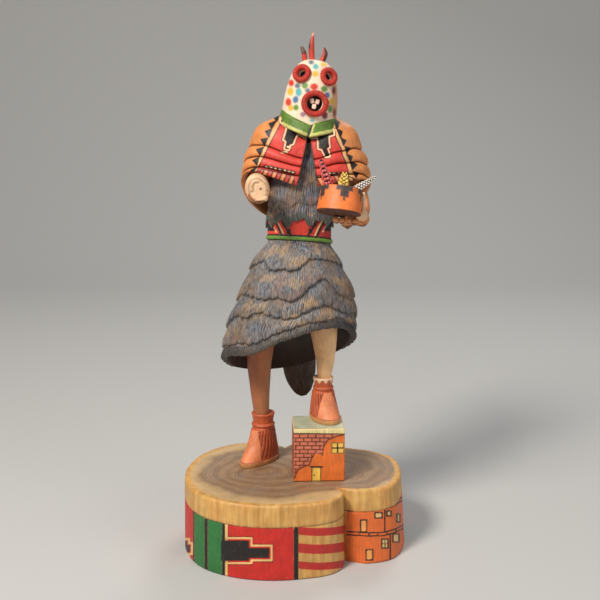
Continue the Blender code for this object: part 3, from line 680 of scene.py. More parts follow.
def slabLook():
    def wood(tree):
        # end grain in rings round two pith centres, straight grain down the side
        place = addNode(tree, "ShaderNodeTexCoord").outputs["Object"]
        noise = addNode(tree, "ShaderNodeTexNoise", {"Vector": place, "Scale": 22.0, "Detail": 6.0})
        bend = noise.outputs["Color"]
        bend = vectorMaths(tree, "ADD", {0: bend, 1: (-0.5, -0.5, -0.5)})
        moved = vectorMaths(tree, "ADD", {0: place, 1: vectorMaths(tree, "SCALE", {0: bend, 3: 0.026})})
        reaches = []
        for across, along in (slabPlan["bigCentre"], slabPlan["smallCentre"]):
            offset = vectorMaths(tree, "ADD", {0: moved, 1: (-across, -along, 0)})
            flat = vectorMaths(tree, "MULTIPLY", {0: offset, 1: (1, 1, 0)})
            reaches.append(vectorMaths(tree, "LENGTH", {0: flat}, "Value"))
        reach = maths(tree, "SMOOTH_MIN", reaches[0], reaches[1], 0.02)
        rings = maths(tree, "SINE", maths(tree, "MULTIPLY", reach, 2300.0))
        wide = maths(tree, "SINE", maths(tree, "MULTIPLY", reach, 610.0))
        rings = maths(tree, "MULTIPLY_ADD", wide, 0.6, maths(tree, "MULTIPLY", rings, 0.6))
        rings = ranged(tree, rings, -1.0, 1.0)
        pale = tinted(tree, srgb(134, 102, 74), rings, 0.5, srgb(196, 158, 114))
        grey = ranged(tree, speckle(tree, 0.020, detail=4.0), 0.4, 0.65)
        pale = tinted(tree, pale, grey, 0.45, srgb(138, 122, 108))
        rim = ranged(tree, reach, 0.046, 0.060, smooth=True)
        top = tinted(tree, pale, rim, 0.8, srgb(216, 180, 126))
        fibres = ranged(tree, speckle(tree, 0.0034, (1, 1, 0.08), 5.0), 0.3, 0.7)
        side = mixColour(tree, fibres, srgb(190, 138, 72), srgb(226, 182, 106))
        blotch = ranged(tree, speckle(tree, 0.014, detail=4.0), 0.35, 0.7)
        side = tinted(tree, side, blotch, 0.4, srgb(206, 132, 60))
        return mixColour(tree, edgeMask(tree, "side", 0.3, 0.0), top, side)

    return paintedLook("slabLook", wood, [
        ("adobePaint", srgb(224, 108, 46)),
        ("redPaint", srgb(200, 40, 30)),
        ("greenPaint", srgb(44, 116, 56)),
        ("darkRedPaint", srgb(188, 44, 36)),
        ("creamPaint", srgb(232, 190, 122)),
        ("doorPaint", srgb(236, 160, 84)),
        ("blackPaint", blackPaint),
        ("bandLine", srgb(60, 34, 22)),
    ], mottle=0.22, rub=0.03, bump=0.3, wobble=0.3)


makeSlab()
print("slab made")


# The house block

blockPlan = {"width": 0.040, "depth": 0.033, "height": 0.0432, "taper": 0.0008, "round": 0.0008, "turn": 3.0,
             "place": (0.0181, -0.0065, 0.0603)}
# what is painted on the block's front, in front-view places; bricks are given by course height and length
blockArt = {
    "plaster": [[(345, 434.5), (336, 436.5), (328, 440), (323.5, 447), (322.4, 455.5)],
                [(315, 453), (312, 458), (309, 465), (303, 467), (298, 470), (293.5, 480)]],
    "brickCorners": [(285, 433), (285, 482)],
    "window": (331.5, 442.5, 344, 453.5),
    "bars": [[(337.6, 441), (337.6, 455)], [(330, 448), (346, 448)]],
    "door": (312, 467.5, 320.8, 483),
    "lintel": [(309.8, 466.6), (323, 466.8)],
    "knob": [(314.2, 475.2), (314.3, 475.2)],
    "frontBrick": (3.9, 8.1),
    "sideBrick": (3.0, 6.2),
    "sideParapet": 39.2,
}


def makeBlock():
    plan = blockPlan
    high = plan["height"]
    levels = [(0.0, -plan["round"]), (plan["round"], 0.0)]
    levels += [(z, 0.0) for z in np.linspace(0.0014, high - plan["round"], int(110 * fine))]
    levels += [(high - 0.0003, -0.0003), (high, -plan["round"])]
    # the outline runs round the four sides from the middle of the back
    halfX, halfY, bevel = plan["width"] / 2, plan["depth"] / 2, plan["round"]
    per = max(8, int(90 * fine))
    corners = [(halfX, halfY), (halfX, -halfY), (-halfX, -halfY), (-halfX, halfY)]
    outline = []
    start = (0.0, halfY)
    stops = [*corners, start]
    for cx, cy in stops:
        line = np.linspace(0, 1, per if cx != 0 else per // 2, endpoint=False)[:, None]
        outline.append(np.array(start) * (1 - line) + np.array((cx, cy)) * line)
        start = (cx, cy)
    outline = np.concatenate(outline)
    inner = np.clip(outline, (-halfX + bevel, -halfY + bevel), (halfX - bevel, halfY - bevel))
    out = outline - inner
    reach = np.linalg.norm(out, axis=1, keepdims=True)
    outline = inner + out / np.maximum(reach, 1e-9) * np.minimum(reach, bevel)
    turn = math.radians(plan["turn"])
    spin = np.array(((math.cos(turn), -math.sin(turn)), (math.sin(turn), math.cos(turn))))
    rows = []
    for z, inset in levels:
        scale = np.array((halfX + inset, halfY + inset)) / (halfX, halfY)
        shrink = 1 - plan["taper"] / (2 * plan["width"]) * z / high
        flat = outline * scale * shrink @ spin.T
        rows.append(np.column_stack([flat + plan["place"][:2], np.full(len(flat), plan["place"][2] + z)]))
    side = np.array(rows)
    top = np.stack([rows[-1] * s + side[-1].mean(axis=0) * (1 - s) for s in (0.97, 0.9, 0.75, 0.5, 0.25)])
    side = carved(side, 0.00012 * pointNoise(side, 0.006, 2.0))
    grid = np.concatenate([side, top])
    isTop = np.zeros(grid.shape[:2], bool)
    isTop[len(side) - 1:] = True
    fields = blockPaint(grid, isTop)
    look = paintedLook("blockLook", srgb(224, 112, 42), [
        ("brickPaint", srgb(204, 114, 84)),
        ("jointPaint", srgb(96, 40, 26)),
        ("yellowPaint", srgb(238, 192, 84)),
        ("creamPaint", srgb(230, 212, 150)),
        ("topPaint", srgb(186, 190, 160)),
        ("blackPaint", blackPaint),
    ], mottle=0.25, rub=0.04, wobble=0.35)
    dress(gridPiece("blockHouse", grid, fields=fields), look, "house_block")


def brickJoints(course, across):
    # share of a course to the nearest joint, with every other course moved half a brick along
    across = across + (np.floor(course) % 2) * 0.5
    return anyOf(0.5 - np.abs((course % 1) - 0.5), (0.5 - np.abs((across % 1) - 0.5)) * 2.0)


def blockPaint(grid, isTop):
    art = blockArt
    x, y = frontSpot(grid)
    normal = skinNormals(grid)
    front = (normal[..., 1] < -0.6) & ~isTop
    ends = (np.abs(normal[..., 0]) > 0.6) & ~isTop
    bricked = ends | ((normal[..., 1] > 0.6) & ~isTop)
    brickStart, brickEnd = art["brickCorners"]
    brickArea = shapeAway(x, y, [brickStart, *art["plaster"][0], *art["plaster"][1], brickEnd])
    high, long = art["frontBrick"]
    frontJoints = allOf(brickArea + 0.4, brickJoints((y - 434) / high, x / long) * high - 0.55)
    high, long = art["sideBrick"]
    up = (grid[..., 2] - blockPlan["place"][2]) * 1000
    along = np.where(ends, grid[..., 1], grid[..., 0]) * 1000
    sideJoints = brickJoints(up / high, along / long) * 4.0 - 0.55
    parapet = y - 433.4 - (x - 293) * 0.012
    sideParapet = art["sideParapet"] - up
    window, door = boxAway(x, y, *art["window"]), boxAway(x, y, *art["door"])
    bars = allOf(window, anyOf(lines(x, y, art["bars"], 0.7), rimAway(window, 0, 0.8)))
    fittings = anyOf(lineAway(x, y, art["lintel"], 0.6), lineAway(x, y, art["knob"], 0.8))
    doorway = anyOf(rimAway(door, 0, 0.5), fittings)
    edge = lines(x, y, art["plaster"], 0.6)
    return {
        "brickPaint": np.where(front, brickArea, np.where(bricked, -3.0, farAway)),
        "jointPaint": np.where(front, anyOf(frontJoints, edge), np.where(bricked, sideJoints, farAway)),
        "yellowPaint": np.where(front, anyOf(window, door), farAway),
        "creamPaint": np.where(front, parapet, np.where(isTop, farAway, sideParapet)),
        "topPaint": np.where(isTop, -3.0, farAway),
        "blackPaint": np.where(front, anyOf(bars, doorway, rimAway(parapet, 0, 0.55)), np.where(
            isTop, farAway, anyOf(up - 0.6, rimAway(sideParapet, 0, 0.45)))),
    }


makeBlock()
print("house block made")


# Fur skirt and fur shirt

skirtPlan = {
    "top": [192, 190, 187, 185, 183.5, 183, 183, 184, 186, 188, 190, 191.5],
    "hem": [117, 124, 120, 108, 95, 83, 74, 73, 79, 91, 99, 104],
    "rows": [(-0.5, 0, 23.5, 17.5), (-2.7, 0.8, 31.5, 23), (-3.2, 1.8, 38.5, 28.5), (-4, 3.2, 44, 32.5),
             (-6, 5, 48.6, 35.5), (-8, 6.2, 50.6, 37.5), (-9, 7, 51.6, 39)],
    "power": 2.1, "step": 2.0, "wall": 3.0, "inside": 0.58,
    # how far down each overlapping edge lies, in shares of the fall, round from the front
    "ledges": [
        [.30, .21, .20, .205, .21, .24, .22, .26, .22, .25, .22, .27,
         .24, .22, .26, .22, .25, .21, .24, .21, .20, .18, .26, .27],
        [.60, .48, .42, .58, .60, .52, .56, .50, .54, .48, .53, .47,
         .52, .48, .53, .47, .52, .46, .50, .46, .46, .48, .51, .53],
        [.78, .74, .72, .78, .80, .75, .78, .76, .78, .74, .77, .73,
         .77, .74, .77, .74, .76, .72, .73, .69, .64, .66, .62, .70],
        [.89, .88, .90, .87, .90, .88, .90, .89, .91, .88, .90, .88,
         .90, .88, .91, .89, .90, .88, .90, .89, .90, .88, .90, .89],
    ],
    "columns": 920, "tierRows": 19, "strands": 210, "locks": 40, "lockDrop": 0.022, "lean": 7.0, "seed": 5,
    "ledgeShade": 0.6, "hemDrop": 0.0099,
}
shirtPlan = {
    "top": [262, 262, 262, 262],
    "hem": [203 + 4.0 * math.cos(2 * math.pi * k / 20) - 4.5 * (k % 2) for k in range(20)],
    "rows": [(4.5, 4, 20, 16), (2.5, 2.8, 22, 19), (0.8, 1, 23.6, 19.6), (-0.3, 0, 25.4, 20)],
    "power": 2.1, "step": 0.7, "wall": 2.0, "inside": 0.85,
    "ledges": [[.79, .76, .80, .77, .80, .76, .79, .76, .80, .77, .80, .76]],
    "columns": 620, "tierRows": 34, "strands": 96, "locks": 20, "lockDrop": 0.03, "lean": -3.0, "seed": 11,
    "ledgeShade": 0.12, "hemDrop": 0.085,
}


def garmentPoint(plan, angle, share, out):
    row = downRows(plan["rows"], share)
    sx, sy = ovalEdge(angle, plan["power"])
    high, low = aroundBody(plan["top"], angle), aroundBody(plan["hem"], angle)
    return dollPoint(row[..., 0] + (row[..., 2] + out) * sx, row[..., 1] + (row[..., 3] + out) * sy,
                     high + (low - high) * share)


def furGarment(plan):
    angle = turns(plan["columns"] * fine)
    turn = angle / (2 * np.pi) + 0.5
    shares, outs, places = [], [], []
    start = np.zeros_like(angle)
    count = max(6, int(plan["tierRows"] * fine))
    for tier, ledge in enumerate([*plan["ledges"], None]):
        lock = turn * plan["locks"] + 0.37 * tier + 0.5 * roundNoise(turn, 0.5 + 0 * turn, tier + 3, 24, 1)
        tip = np.sqrt(np.clip(1 - (2 * (lock % 1.0) - 1) ** 2, 0, 1)) - 0.6
        chance = 0.4 + 1.2 * roundNoise(turn, 0.5 + 0 * turn, tier + 8, plan["locks"], 1)
        end = (aroundBody(ledge, angle) if ledge else 1.0) + tip * chance * (
            plan["hemDrop"] if ledge is None else plan["lockDrop"])
        for p in np.linspace(0, 1, count):
            shares.append(start + (end - start) * p)
            swell = min(1.0, p / 0.75)
            lip = max(0.0, (p - 0.9) / 0.1)
            rise = plan["step"] * swell * swell * (3 - 2 * swell) - 0.45 * lip * lip
            outs.append(np.full_like(angle, rise))
            places.append(np.full_like(angle, p))
        start = end + 0.004
    share, out, place = np.array(shares), np.array(outs), np.array(places)
    outer = garmentPoint(plan, angle[None], share, out)
    around = np.broadcast_to(turn, share.shape)
    sway = roundNoise(around, share, plan["seed"], plan["locks"], 9) - 0.5
    strand = around * plan["strands"] + plan["lean"] * share + 2.2 * sway
    ridge = 1 - np.abs(2 * (strand % 1.0) - 1)
    number = np.floor(strand) / plan["strands"]
    strength = 0.35 + 0.65 * roundNoise(number, share, plan["seed"] + 1, plan["strands"], 14)
    lockWide = around * plan["locks"] + 0.5 * sway
    lump = np.sqrt(np.clip(1 - (2 * (lockWide % 1.0) - 1) ** 2, 0, 1))
    cut = (1 - ridge) ** 1.25 * strength
    outer = carved(outer, unit * (-0.62 * cut + 0.35 * (lump - 0.5) * place))
    depth = 0.25 + 0.75 * roundNoise(around, share, plan["seed"] + 5, 17, 6)
    # painted shade just below each overlapping ledge, stronger or weaker at random
    shaded = np.clip(1 - place / 0.14, 0, 1) * (share > 0.1) * depth * plan["ledgeShade"]
    groove = np.clip(0.95 * cut + shaded, 0, 1)
    tan = 0.62 * roundNoise(around, share, plan["seed"] + 2, 24, 9) + 0.38 * roundNoise(
        number, share, plan["seed"] + 6, plan["strands"], 34)
    rust = 0.66 * roundNoise(around, share, plan["seed"] + 3, 20, 7) + 0.34 * roundNoise(
        number + 0.3, share, plan["seed"] + 7, plan["strands"], 28)
    inner = np.array([garmentPoint(plan, angle, np.full_like(angle, s), -plan["wall"])
                      for s in (1.0, (1 + plan["inside"]) / 2, plan["inside"])])

    def withInner(values, inside):
        return np.concatenate([values, np.full((len(inner), len(angle)), inside)])

    return np.concatenate([outer, inner]), {
        # the hollow inside the hem is darkened all over as painted shade
        "groove": withInner(groove, 0.9),
        "ridge": withInner(np.clip(ridge - 0.7, 0, 1) * 1.6 * tan, 0.0),
        "tanFleck": withInner(tan, 0.0),
        "rustFleck": withInner(rust, 0.0),
        "hemShare": withInner(share, 1.0),
    }


def furLook(name, pale, dark, hem):
    def fur(tree):
        grain = speckle(tree, 0.0013, (1, 1, 0.22), 3.0)
        grey = mixColour(tree, ranged(tree, grain, 0.36, 0.62), dark, pale)
        patch = ranged(tree, speckle(tree, 0.011, (1, 1, 0.7), 3.0), 0.42, 0.62)
        brown = tinted(tree, grey, patch, 0.5, srgb(146, 116, 84))
        fleck = maths(tree, "MULTIPLY_ADD", grain, 0.3, field(tree, "tanFleck"))
        tanned = tinted(tree, brown, ranged(tree, fleck, 0.74, 0.92), 0.55, srgb(196, 154, 100))
        rust = maths(tree, "MULTIPLY_ADD", grain, 0.2, field(tree, "rustFleck"))
        rusted = tinted(tree, tanned, ranged(tree, rust, 0.74, 0.86), 0.4, srgb(168, 116, 88))
        # the fur goes darker at the hem: on the skirt this band is its dark fringe together with painted
        # shade under the last ledge
        return tinted(tree, rusted, ranged(tree, field(tree, "hemShare"), 0.905, 0.925), 0.85, hem)

    return paintedLook(name, fur, groove="groove", ridge="ridge", mottle=0.3, rub=0.04, bump=0.3)


skirtLook = furLook("skirtLook", srgb(138, 142, 148), srgb(70, 72, 78), srgb(48, 46, 46))
shirtLook = furLook("shirtLook", srgb(128, 132, 142), srgb(66, 68, 76), srgb(92, 98, 90))
for furName, plan, look in (("skirtFur", skirtPlan, skirtLook), ("shirtFur", shirtPlan, shirtLook)):
    furGrid, furFields = furGarment(plan)
    dress(gridPiece(furName, furGrid, fields=furFields, sharp=None), look, "figure")
print("fur skirt and shirt made")


# Sash

sashPlan = {
    "profile": [(186.5, 23.6), (187.2, 25.0), (188.6, 25.7), (190.0, 25.0), (190.7, 24.4), (204.0, 24.4),
                (207.0, 23.0)],
    "rise": 4.2, "tilt": 1.6, "power": 2.1,
    # the left half of the pattern, in front-view places; the right half is its mirror
    "middle": 299.5,
    "bars": [[(274.5, 221), (278.5, 228), (282, 236)], [(281.5, 221), (286, 228), (291.5, 236)]],
    "notches": [(282.5, 222.5, 286.5, 226), (286.5, 228.5, 290.5, 233.5)],
    "creamLines": [[(276.7, 221), (280.7, 228), (284.2, 236)], [(271, 225), (276.5, 232)]],
    "wedge": [(267, 222), (272, 226), (275.5, 231), (267, 231)],
}


def sashPattern(x, y):
    # both halves of the woven pattern: black, then cream
    plan = sashPlan
    halves = []
    for u in (x, 2 * plan["middle"] - x):
        stepped = anyOf(boxes(u, y, plan["notches"]), shapeAway(u, y, plan["wedge"]))
        black = anyOf(lines(u, y, plan["bars"], 0.95), stepped)
        halves.append((black, lines(u, y, plan["creamLines"], 0.8)))
    return anyOf(halves[0][0], halves[1][0]), anyOf(halves[0][1], halves[1][1])


def makeSash():
    angle = turns(420 * fine)[None]
    share = np.linspace(0, 1, int(80 * fine))[:, None]
    heights, widths = zip(*sashPlan["profile"])
    spread = np.linspace(0, 1, len(heights))
    high = np.interp(share, spread, heights)
    wide = np.interp(share, spread, widths)
    sx, sy = ovalEdge(angle, sashPlan["power"])
    z = high + sashPlan["rise"] * np.cos(angle) - sashPlan["tilt"] * np.sin(angle) - 1.0
    grid = dollPoint(-0.5 + wide * sx, (wide - 5.6) * sy, z)
    grid = carved(grid, 0.00015 * pointNoise(grid, 0.004, 12.0))
    high = high + 0 * angle
    x, y = frontSpot(grid)
    # round the back, the pattern goes on as if the sash were unrolled
    repeat = 290 - np.abs((np.abs(angle) * 33 + 8) % 46 - 23) + 0 * high
    front = np.cos(angle) > 0.1
    black, cream = sashPattern(np.where(front, x, repeat), np.where(front, y, 236 - (high - 190) * 1.1))
    cloth = 190.6 - high
    twist = angle * 24.0 + (high - 188) * 1.3
    fields = {
        "redPaint": cloth,
        # one side of the sash is painted a darker red as painted shade
        "darkPaint": np.maximum(cloth, 0.35 - np.sin(angle) + 0 * high),
        "creamPaint": np.maximum(cloth, cream),
        "blackPaint": anyOf(np.maximum(cloth, black), rimAway(high, 190.4, 0.6), high - 187.1),
        "groove": np.where(
            high < 190.2, 0.6 * nearness((twist % 2.4) - 1.2, 0.5), 0.4 * nearness(black, 0.6)),
    }
    look = paintedLook("sashLook", srgb(112, 156, 58), [
        ("redPaint", srgb(226, 66, 50)), ("darkPaint", srgb(186, 44, 38)),
        ("creamPaint", srgb(238, 196, 140)),
        ("blackPaint", blackPaint),
    ], groove="groove", mottle=0.2)
    dress(gridPiece("sashBand", grid, fields=fields), look, "figure")


makeSash()


# Shawl

shawlPlan = {
    "top": [269, 276, 281, 283, 284, 285, 285, 285, 284, 284, 282, 277],
    "hem": [231, 234, 235, 230, 216, 201, 196, 200, 213, 230, 241, 238],
    "rows": [(5.5, 3, 17, 14.5), (4.3, 3.8, 33.5, 20), (4.2, 4.4, 40, 23.5), (4.4, 4.4, 44.2, 26),
             (4.6, 4, 47, 27),
             (4.6, 3.4, 48, 27)],
    "power": 2.3, "wall": 2.4, "apex": (6.6, 270.5), "openLeft": (-3.4, 226.0), "openRight": (13.8, 226.0),
    "folds": [0.465, 0.62, 0.795], "sags": [0.055, 0.13, 0.155], "bulge": 1.5, "crease": 1.1,
}
# what is painted on the shawl's front, in front-view places
shawlArt = {
    "bands": [
        [(283.8, 111), (280.5, 118.5), (277, 126), (273.5, 132.5), (270, 139), (267, 145.5), (264.5, 150),
         (261.5, 157), (258, 163.5), (255.5, 169.5), (252.5, 173)],
        [(333.7, 118), (335, 130), (339, 140), (343, 148), (344.5, 155), (347.7, 162), (350, 170),
         (350.5, 178), (355, 186)],
    ],
    "panel": [(283.8, 109), (277, 126), (270, 139), (264.5, 150), (258, 163.5), (251.5, 174.5), (262, 182),
              (293, 196),
              (320, 198), (358, 192), (350, 174), (347.7, 162), (343, 148), (335, 130), (333.7, 112)],
    "triangles": [
        [(273.5, 117.5), (281, 110), (277, 121.5)], [(269, 123.5), (276, 121), (271.5, 129)],
        [(265.3, 131.3), (271.5, 129), (269, 137.5)], [(261.2, 139.3), (267.5, 138), (264.5, 146)],
        [(256.5, 149.5), (263.5, 147.5), (260, 155)], [(252.7, 160.3), (259, 157.5), (257, 165)],
        [(250.5, 170.5), (257, 167), (253, 173)],
        [(334.8, 119), (339.3, 122.5), (338, 127.5), (336, 128.5)],
        [(337, 129), (342.2, 131.5), (340.5, 138)],
        [(341, 138), (346, 140.5), (343.5, 145.5)], [(345, 146.5), (350.2, 148), (347, 153)],
        [(346.5, 154), (352.3, 156.5), (350.5, 161.5)], [(350, 161.5), (357, 164.5), (352.5, 169.5)],
        [(353, 171.5), (358.5, 173), (356, 178)], [(353.5, 179), (358.5, 181), (357.5, 185)],
    ],
    "clouds": [
        [(281, 119), (281, 121.5), (287.5, 127.5), (286.5, 131), (284, 139.5), (286.5, 141.5), (285, 148.5),
         (288.5, 149.5), (289.5, 145), (293, 143.5), (294.5, 139), (297.5, 133), (306, 138), (307, 134)],
        [(308.5, 135), (308.5, 138), (317.5, 137), (318.6, 141), (318.8, 148.5), (322, 149), (324, 153),
         (325.5, 156.5), (329.3, 156), (328.3, 152), (326.8, 148.5), (329.3, 147), (328.4, 141), (328.6, 136),
         (333.5, 134.5), (333, 130)],
    ],
    "chips": [(281, 151.2, 287.5, 153.4), (286.8, 145.8, 291, 148)],
    "dashLines": [[(264.5, 166.3), (271, 167.3), (280, 169.4), (294.5, 172.6)], [(322, 173.2), (346, 173.6)]],
    "dashes": [(266.5, 166.8), (271, 167.4), (275.5, 168.5), (280, 169.5), (285, 170.4), (289, 171.3),
               (293, 172.4), (325, 173.2), (329.5, 173.2), (334, 173.4), (339, 173.4), (343.5, 173.6)],
    "dashHalf": (0.8, 0.2),
    "fringes": [
        [(262, 169), (270, 171), (280, 173), (294.5, 176), (294, 190), (282, 187), (270, 184), (254, 176.5)],
        [(316, 176), (346, 175.6), (353, 178), (358, 192), (316, 192)],
    ],
    "fringePitch": 4.45,
}


def openingAngle(plan, share, side):
    # where the front edge of the shawl lies at a share of its fall
    foot = plan["openRight"] if side > 0 else plan["openLeft"]
    row = downRows(plan["rows"], share)
    angle = np.zeros_like(share)
    for _ in range(4):
        high, low = aroundBody(plan["top"], angle), aroundBody(plan["hem"], angle)
        z = high + (low - high) * share
        t = np.clip((plan["apex"][1] - z) / (plan["apex"][1] - foot[1]), 0, 1.1)
        x = plan["apex"][0] + (foot[0] - plan["apex"][0]) * t
        s = np.clip((x - row[..., 0]) / row[..., 2], -0.9, 0.9)
        angle = np.sign(s) * np.arcsin(np.abs(s) ** (plan["power"] / 2))
    return angle


def shawlFolds(plan, angle, share):
    # how far the cloth stands out between two creases, and how near a crease is, from 0 to 1
    wander = 0.012 * np.sin(5 * angle + 1.0) + 0.008 * np.sin(11 * angle)
    creases = [fold + sag * np.abs(np.sin(angle)) + wander for fold, sag in zip(plan["folds"], plan["sags"])]
    edges = [np.zeros_like(share), *creases, np.ones_like(share) * 1.02]
    out, near = np.zeros_like(share), np.zeros_like(share)
    for above, below in zip(edges, edges[1:]):
        part = (share - above) / (below - above)
        inside = (part >= 0) & (part <= 1)
        swell = np.sin(np.pi * np.clip(part, 0, 1) ** 1.3) ** 0.7
        out = np.where(inside, plan["bulge"] * swell, out)
    for crease in creases:
        near = np.maximum(near, nearness(share - crease, 0.020))
    return out, near


def makeShawl():
    plan = shawlPlan
    share = np.linspace(0, 1, int(190 * fine))
    first, last = openingAngle(plan, share, 1), openingAngle(plan, share, -1) + 2 * np.pi
    spread = np.linspace(0, 1, int(620 * fine))[None]
    angle = first[:, None] + (last - first)[:, None] * spread
    both = np.broadcast_to(share[:, None], angle.shape)
    out, near = shawlFolds(plan, angle, both)
    turn = angle / (2 * np.pi)
    lumps = 0.5 * (roundNoise(turn, both, 4, 26, 9) - 0.5)
    outer = garmentPoint(plan, angle, both, 0.0)
    outer = carved(outer, unit * (out + lumps - plan["crease"] * near), wrap=False)
    edge = np.minimum(spread, 1 - spread) * 224
    wall = plan["wall"] * np.sqrt(np.clip(edge / 2.4, 0, 1))
    innerShare = np.linspace(1, 0.12, int(30 * fine))
    firstIn, lastIn = openingAngle(plan, innerShare, 1), openingAngle(plan, innerShare, -1) + 2 * np.pi
    angleIn = firstIn[:, None] + (lastIn - firstIn)[:, None] * spread
    bothIn = np.broadcast_to(innerShare[:, None], angleIn.shape)
    normals = skinNormals(garmentPoint(plan, angleIn, bothIn, 0.0), wrap=False)
    inner = garmentPoint(plan, angleIn, bothIn, 0.0) - normals * unit * (wall + 0.02)[..., None]
    grid = np.concatenate([outer, inner])
    fields = shawlPaint(outer, angle, both)
    rims = np.clip(1 - edge / 0.9, 0, 1) + 0 * both
    # the creases are darkened with painted shade, and the cloth's cut edges with a dark line
    fields["groove"] = np.clip(np.maximum(near * 1.1, rims) + fields["groove"], 0, 1)
    for key, value in fields.items():
        # the inner side of the cloth is darkened all over as painted shade
        inside = 0.8 if key == "groove" else farAway
        fields[key] = np.concatenate([value, np.full((len(inner), value.shape[1]), inside)])
    look = paintedLook("shawlLook", srgb(222, 138, 74), [
        ("redPaint", srgb(212, 62, 50)), ("deepPaint", srgb(196, 72, 54)), ("bandPaint", srgb(234, 176, 116)),
        ("blackPaint", blackPaint), ("fringePaint", srgb(222, 142, 88)), ("creamPaint", srgb(240, 206, 160)),
    ], groove="groove", mottle=0.26, bump=0.3, rub=0.06)
    piece = gridPiece("shawlCloth", grid, wrap=False, loop=True, caps=(False, False), fields=fields, sharp=60)
    dress(piece, look, "figure")


def shawlPaint(grid, angle, share):
    art = shawlArt
    x, y = frontSpot(grid)
    front = (np.cos(angle) > -0.05) & (grid[..., 1] < 0.014)
    panel = shapeAway(x, y, art["panel"])
    band = lines(x, y, art["bands"], 1.5)
    clouds = shapes(x, y, art["clouds"])
    chips = boxes(x, y, art["chips"])
    triangles = shapes(x, y, art["triangles"]) - 0.6
    dashStrip = lines(x, y, art["dashLines"], 1.35)
    long, rise = art["dashHalf"]
    dashes = lines(x, y, [[(dx - long, dy - rise), (dx + long, dy + rise)] for dx, dy in art["dashes"]], 0.55)
    fringe = shapes(x, y, art["fringes"])
    # the bars of the fringe lean one way on each half of the shawl
    lean = np.where(x < 307, x + 0.42 * (y - 169 - (x - 262) * 0.215) - 260.0, x - 0.5 * (y - 176) - 329.4)
    bar = lean / art["fringePitch"]
    gap = (0.5 - np.abs((bar % 1.0) - 0.5)) * art["fringePitch"] - 0.7
    odd = np.where(np.floor(bar) % 2 == 1, -1.0, 1.0) * np.maximum(gap + 0.5, 0.1)

    # behind, a row of the same triangles stands on the hem
    across = (np.abs(angle) / np.pi * 13 % 1.0 - 0.5) * 11.5
    backTriangles = shapeAway(across, (1 - share) * 52, [(-4.4, 1.2), (4.4, 1.2), (0, 8.0)])

    def paintFront(value, behind=farAway):
        return np.where(front, value, behind)

    return {
        "redPaint": paintFront(allOf(panel, -band)),
        "deepPaint": paintFront(allOf(fringe, -0.1 + 0 * x)),
        "bandPaint": paintFront(band),
        "blackPaint": paintFront(anyOf(
            clouds, allOf(rimAway(clouds, 2.1, 0.4), panel), triangles, dashStrip, allOf(fringe, gap),
            allOf(rimAway(band, 0.5, 0.5), panel + 0.5), rimAway(fringe, 0, 0.5)), backTriangles),
        "creamPaint": paintFront(anyOf(allOf(rimAway(clouds, 0.9, 0.7), panel), chips, dashes)),
        "fringePaint": paintFront(allOf(fringe + 0.4, odd, -gap)),
        "groove": 0.5 * nearness(paintFront(fringe), 0.8),
    }


makeShawl()
print("sash and shawl made")


# Collar

collarPlan = {"profile": [(12.0, 0.0), (17.0, 1.0), (21.2, 1.2), (22.4, 0.0), (23.2, -3.4), (23.6, -5.2),
                          (24.6, -7.2), (23.8, -8.4), (21.5, -9.0), (16.0, -8.4), (12.0, -8.0)],
              "level": 274.5, "lift": 7.8, "tilt": 2.7, "centre": (6.6, 3.5), "power": 2.2,
              # where the two ends meet at the throat and the pale edge beside it, in front-view places
              "seam": [(311.8, 124.5), (310.2, 130), (307.5, 138)],
              "seamEdge": [(314, 124.5), (312.5, 130), (310, 137)]}


def makeCollar():
    plan = collarPlan
    angle = turns(360 * fine)[None]
    places = np.linspace(0, 1, int(54 * fine) + 10)[:, None]
    outs, drops = zip(*plan["profile"])
    lengths = np.concatenate([[0], np.cumsum(np.hypot(np.diff(outs), np.diff(drops)))])
    lengths /= lengths[-1]
    out, drop = np.interp(places, lengths, outs), np.interp(places, lengths, drops)
    fold = np.abs(angle) / np.pi
    level = plan["level"] + plan["lift"] * np.minimum(fold * 2.2, 1.0) ** 0.8 - plan["tilt"] * np.sin(angle)
    sx, sy = ovalEdge(angle, plan["power"])
    grid = dollPoint(plan["centre"][0] + (out - 1.6) * sx, plan["centre"][1] + out * sy, level + drop)
    grid = carved(grid, 0.00018 * pointNoise(grid, 0.006, 5.0))
    fall, out = drop + 0 * angle, out + 0 * angle
    x, y = frontSpot(grid)
    outside = out > 20
    seam = np.where((np.cos(angle) > 0) & outside, lineAway(x, y, plan["seam"], 0.7), farAway)
    edge = anyOf(fall + 5.4, lineAway(x, y, plan["seamEdge"], 0.9))
    fields = {
        "palePaint": np.where(outside, edge, farAway),
        "blackPaint": anyOf(np.where(out > 15, fall + 8.3, farAway), seam),
        "groove": nearness(seam, 0.8),
    }
    grid = carved(grid, -0.0007 * nearness(seam, 1.6))
    look = paintedLook("collarLook", srgb(90, 122, 42), [
        ("palePaint", srgb(190, 186, 104)), ("blackPaint", blackPaint),
    ], groove="groove", mottle=0.45, rub=0.1)
    dress(gridPiece("collarBand", grid, fields=fields), look, "figure")


makeCollar()


# Mask with its mouth and eyes

def dollMatrix(x, y, z, toSide, forward):
    # a frame at a place in doll units, leaning by two angles in degrees
    lean = Matrix.Rotation(math.radians(toSide), 4, "Y") @ Matrix.Rotation(math.radians(forward), 4, "X")
    return Matrix.Translation(Vector(tuple(dollPlace + np.array((x, y, z)) * unit))) @ lean


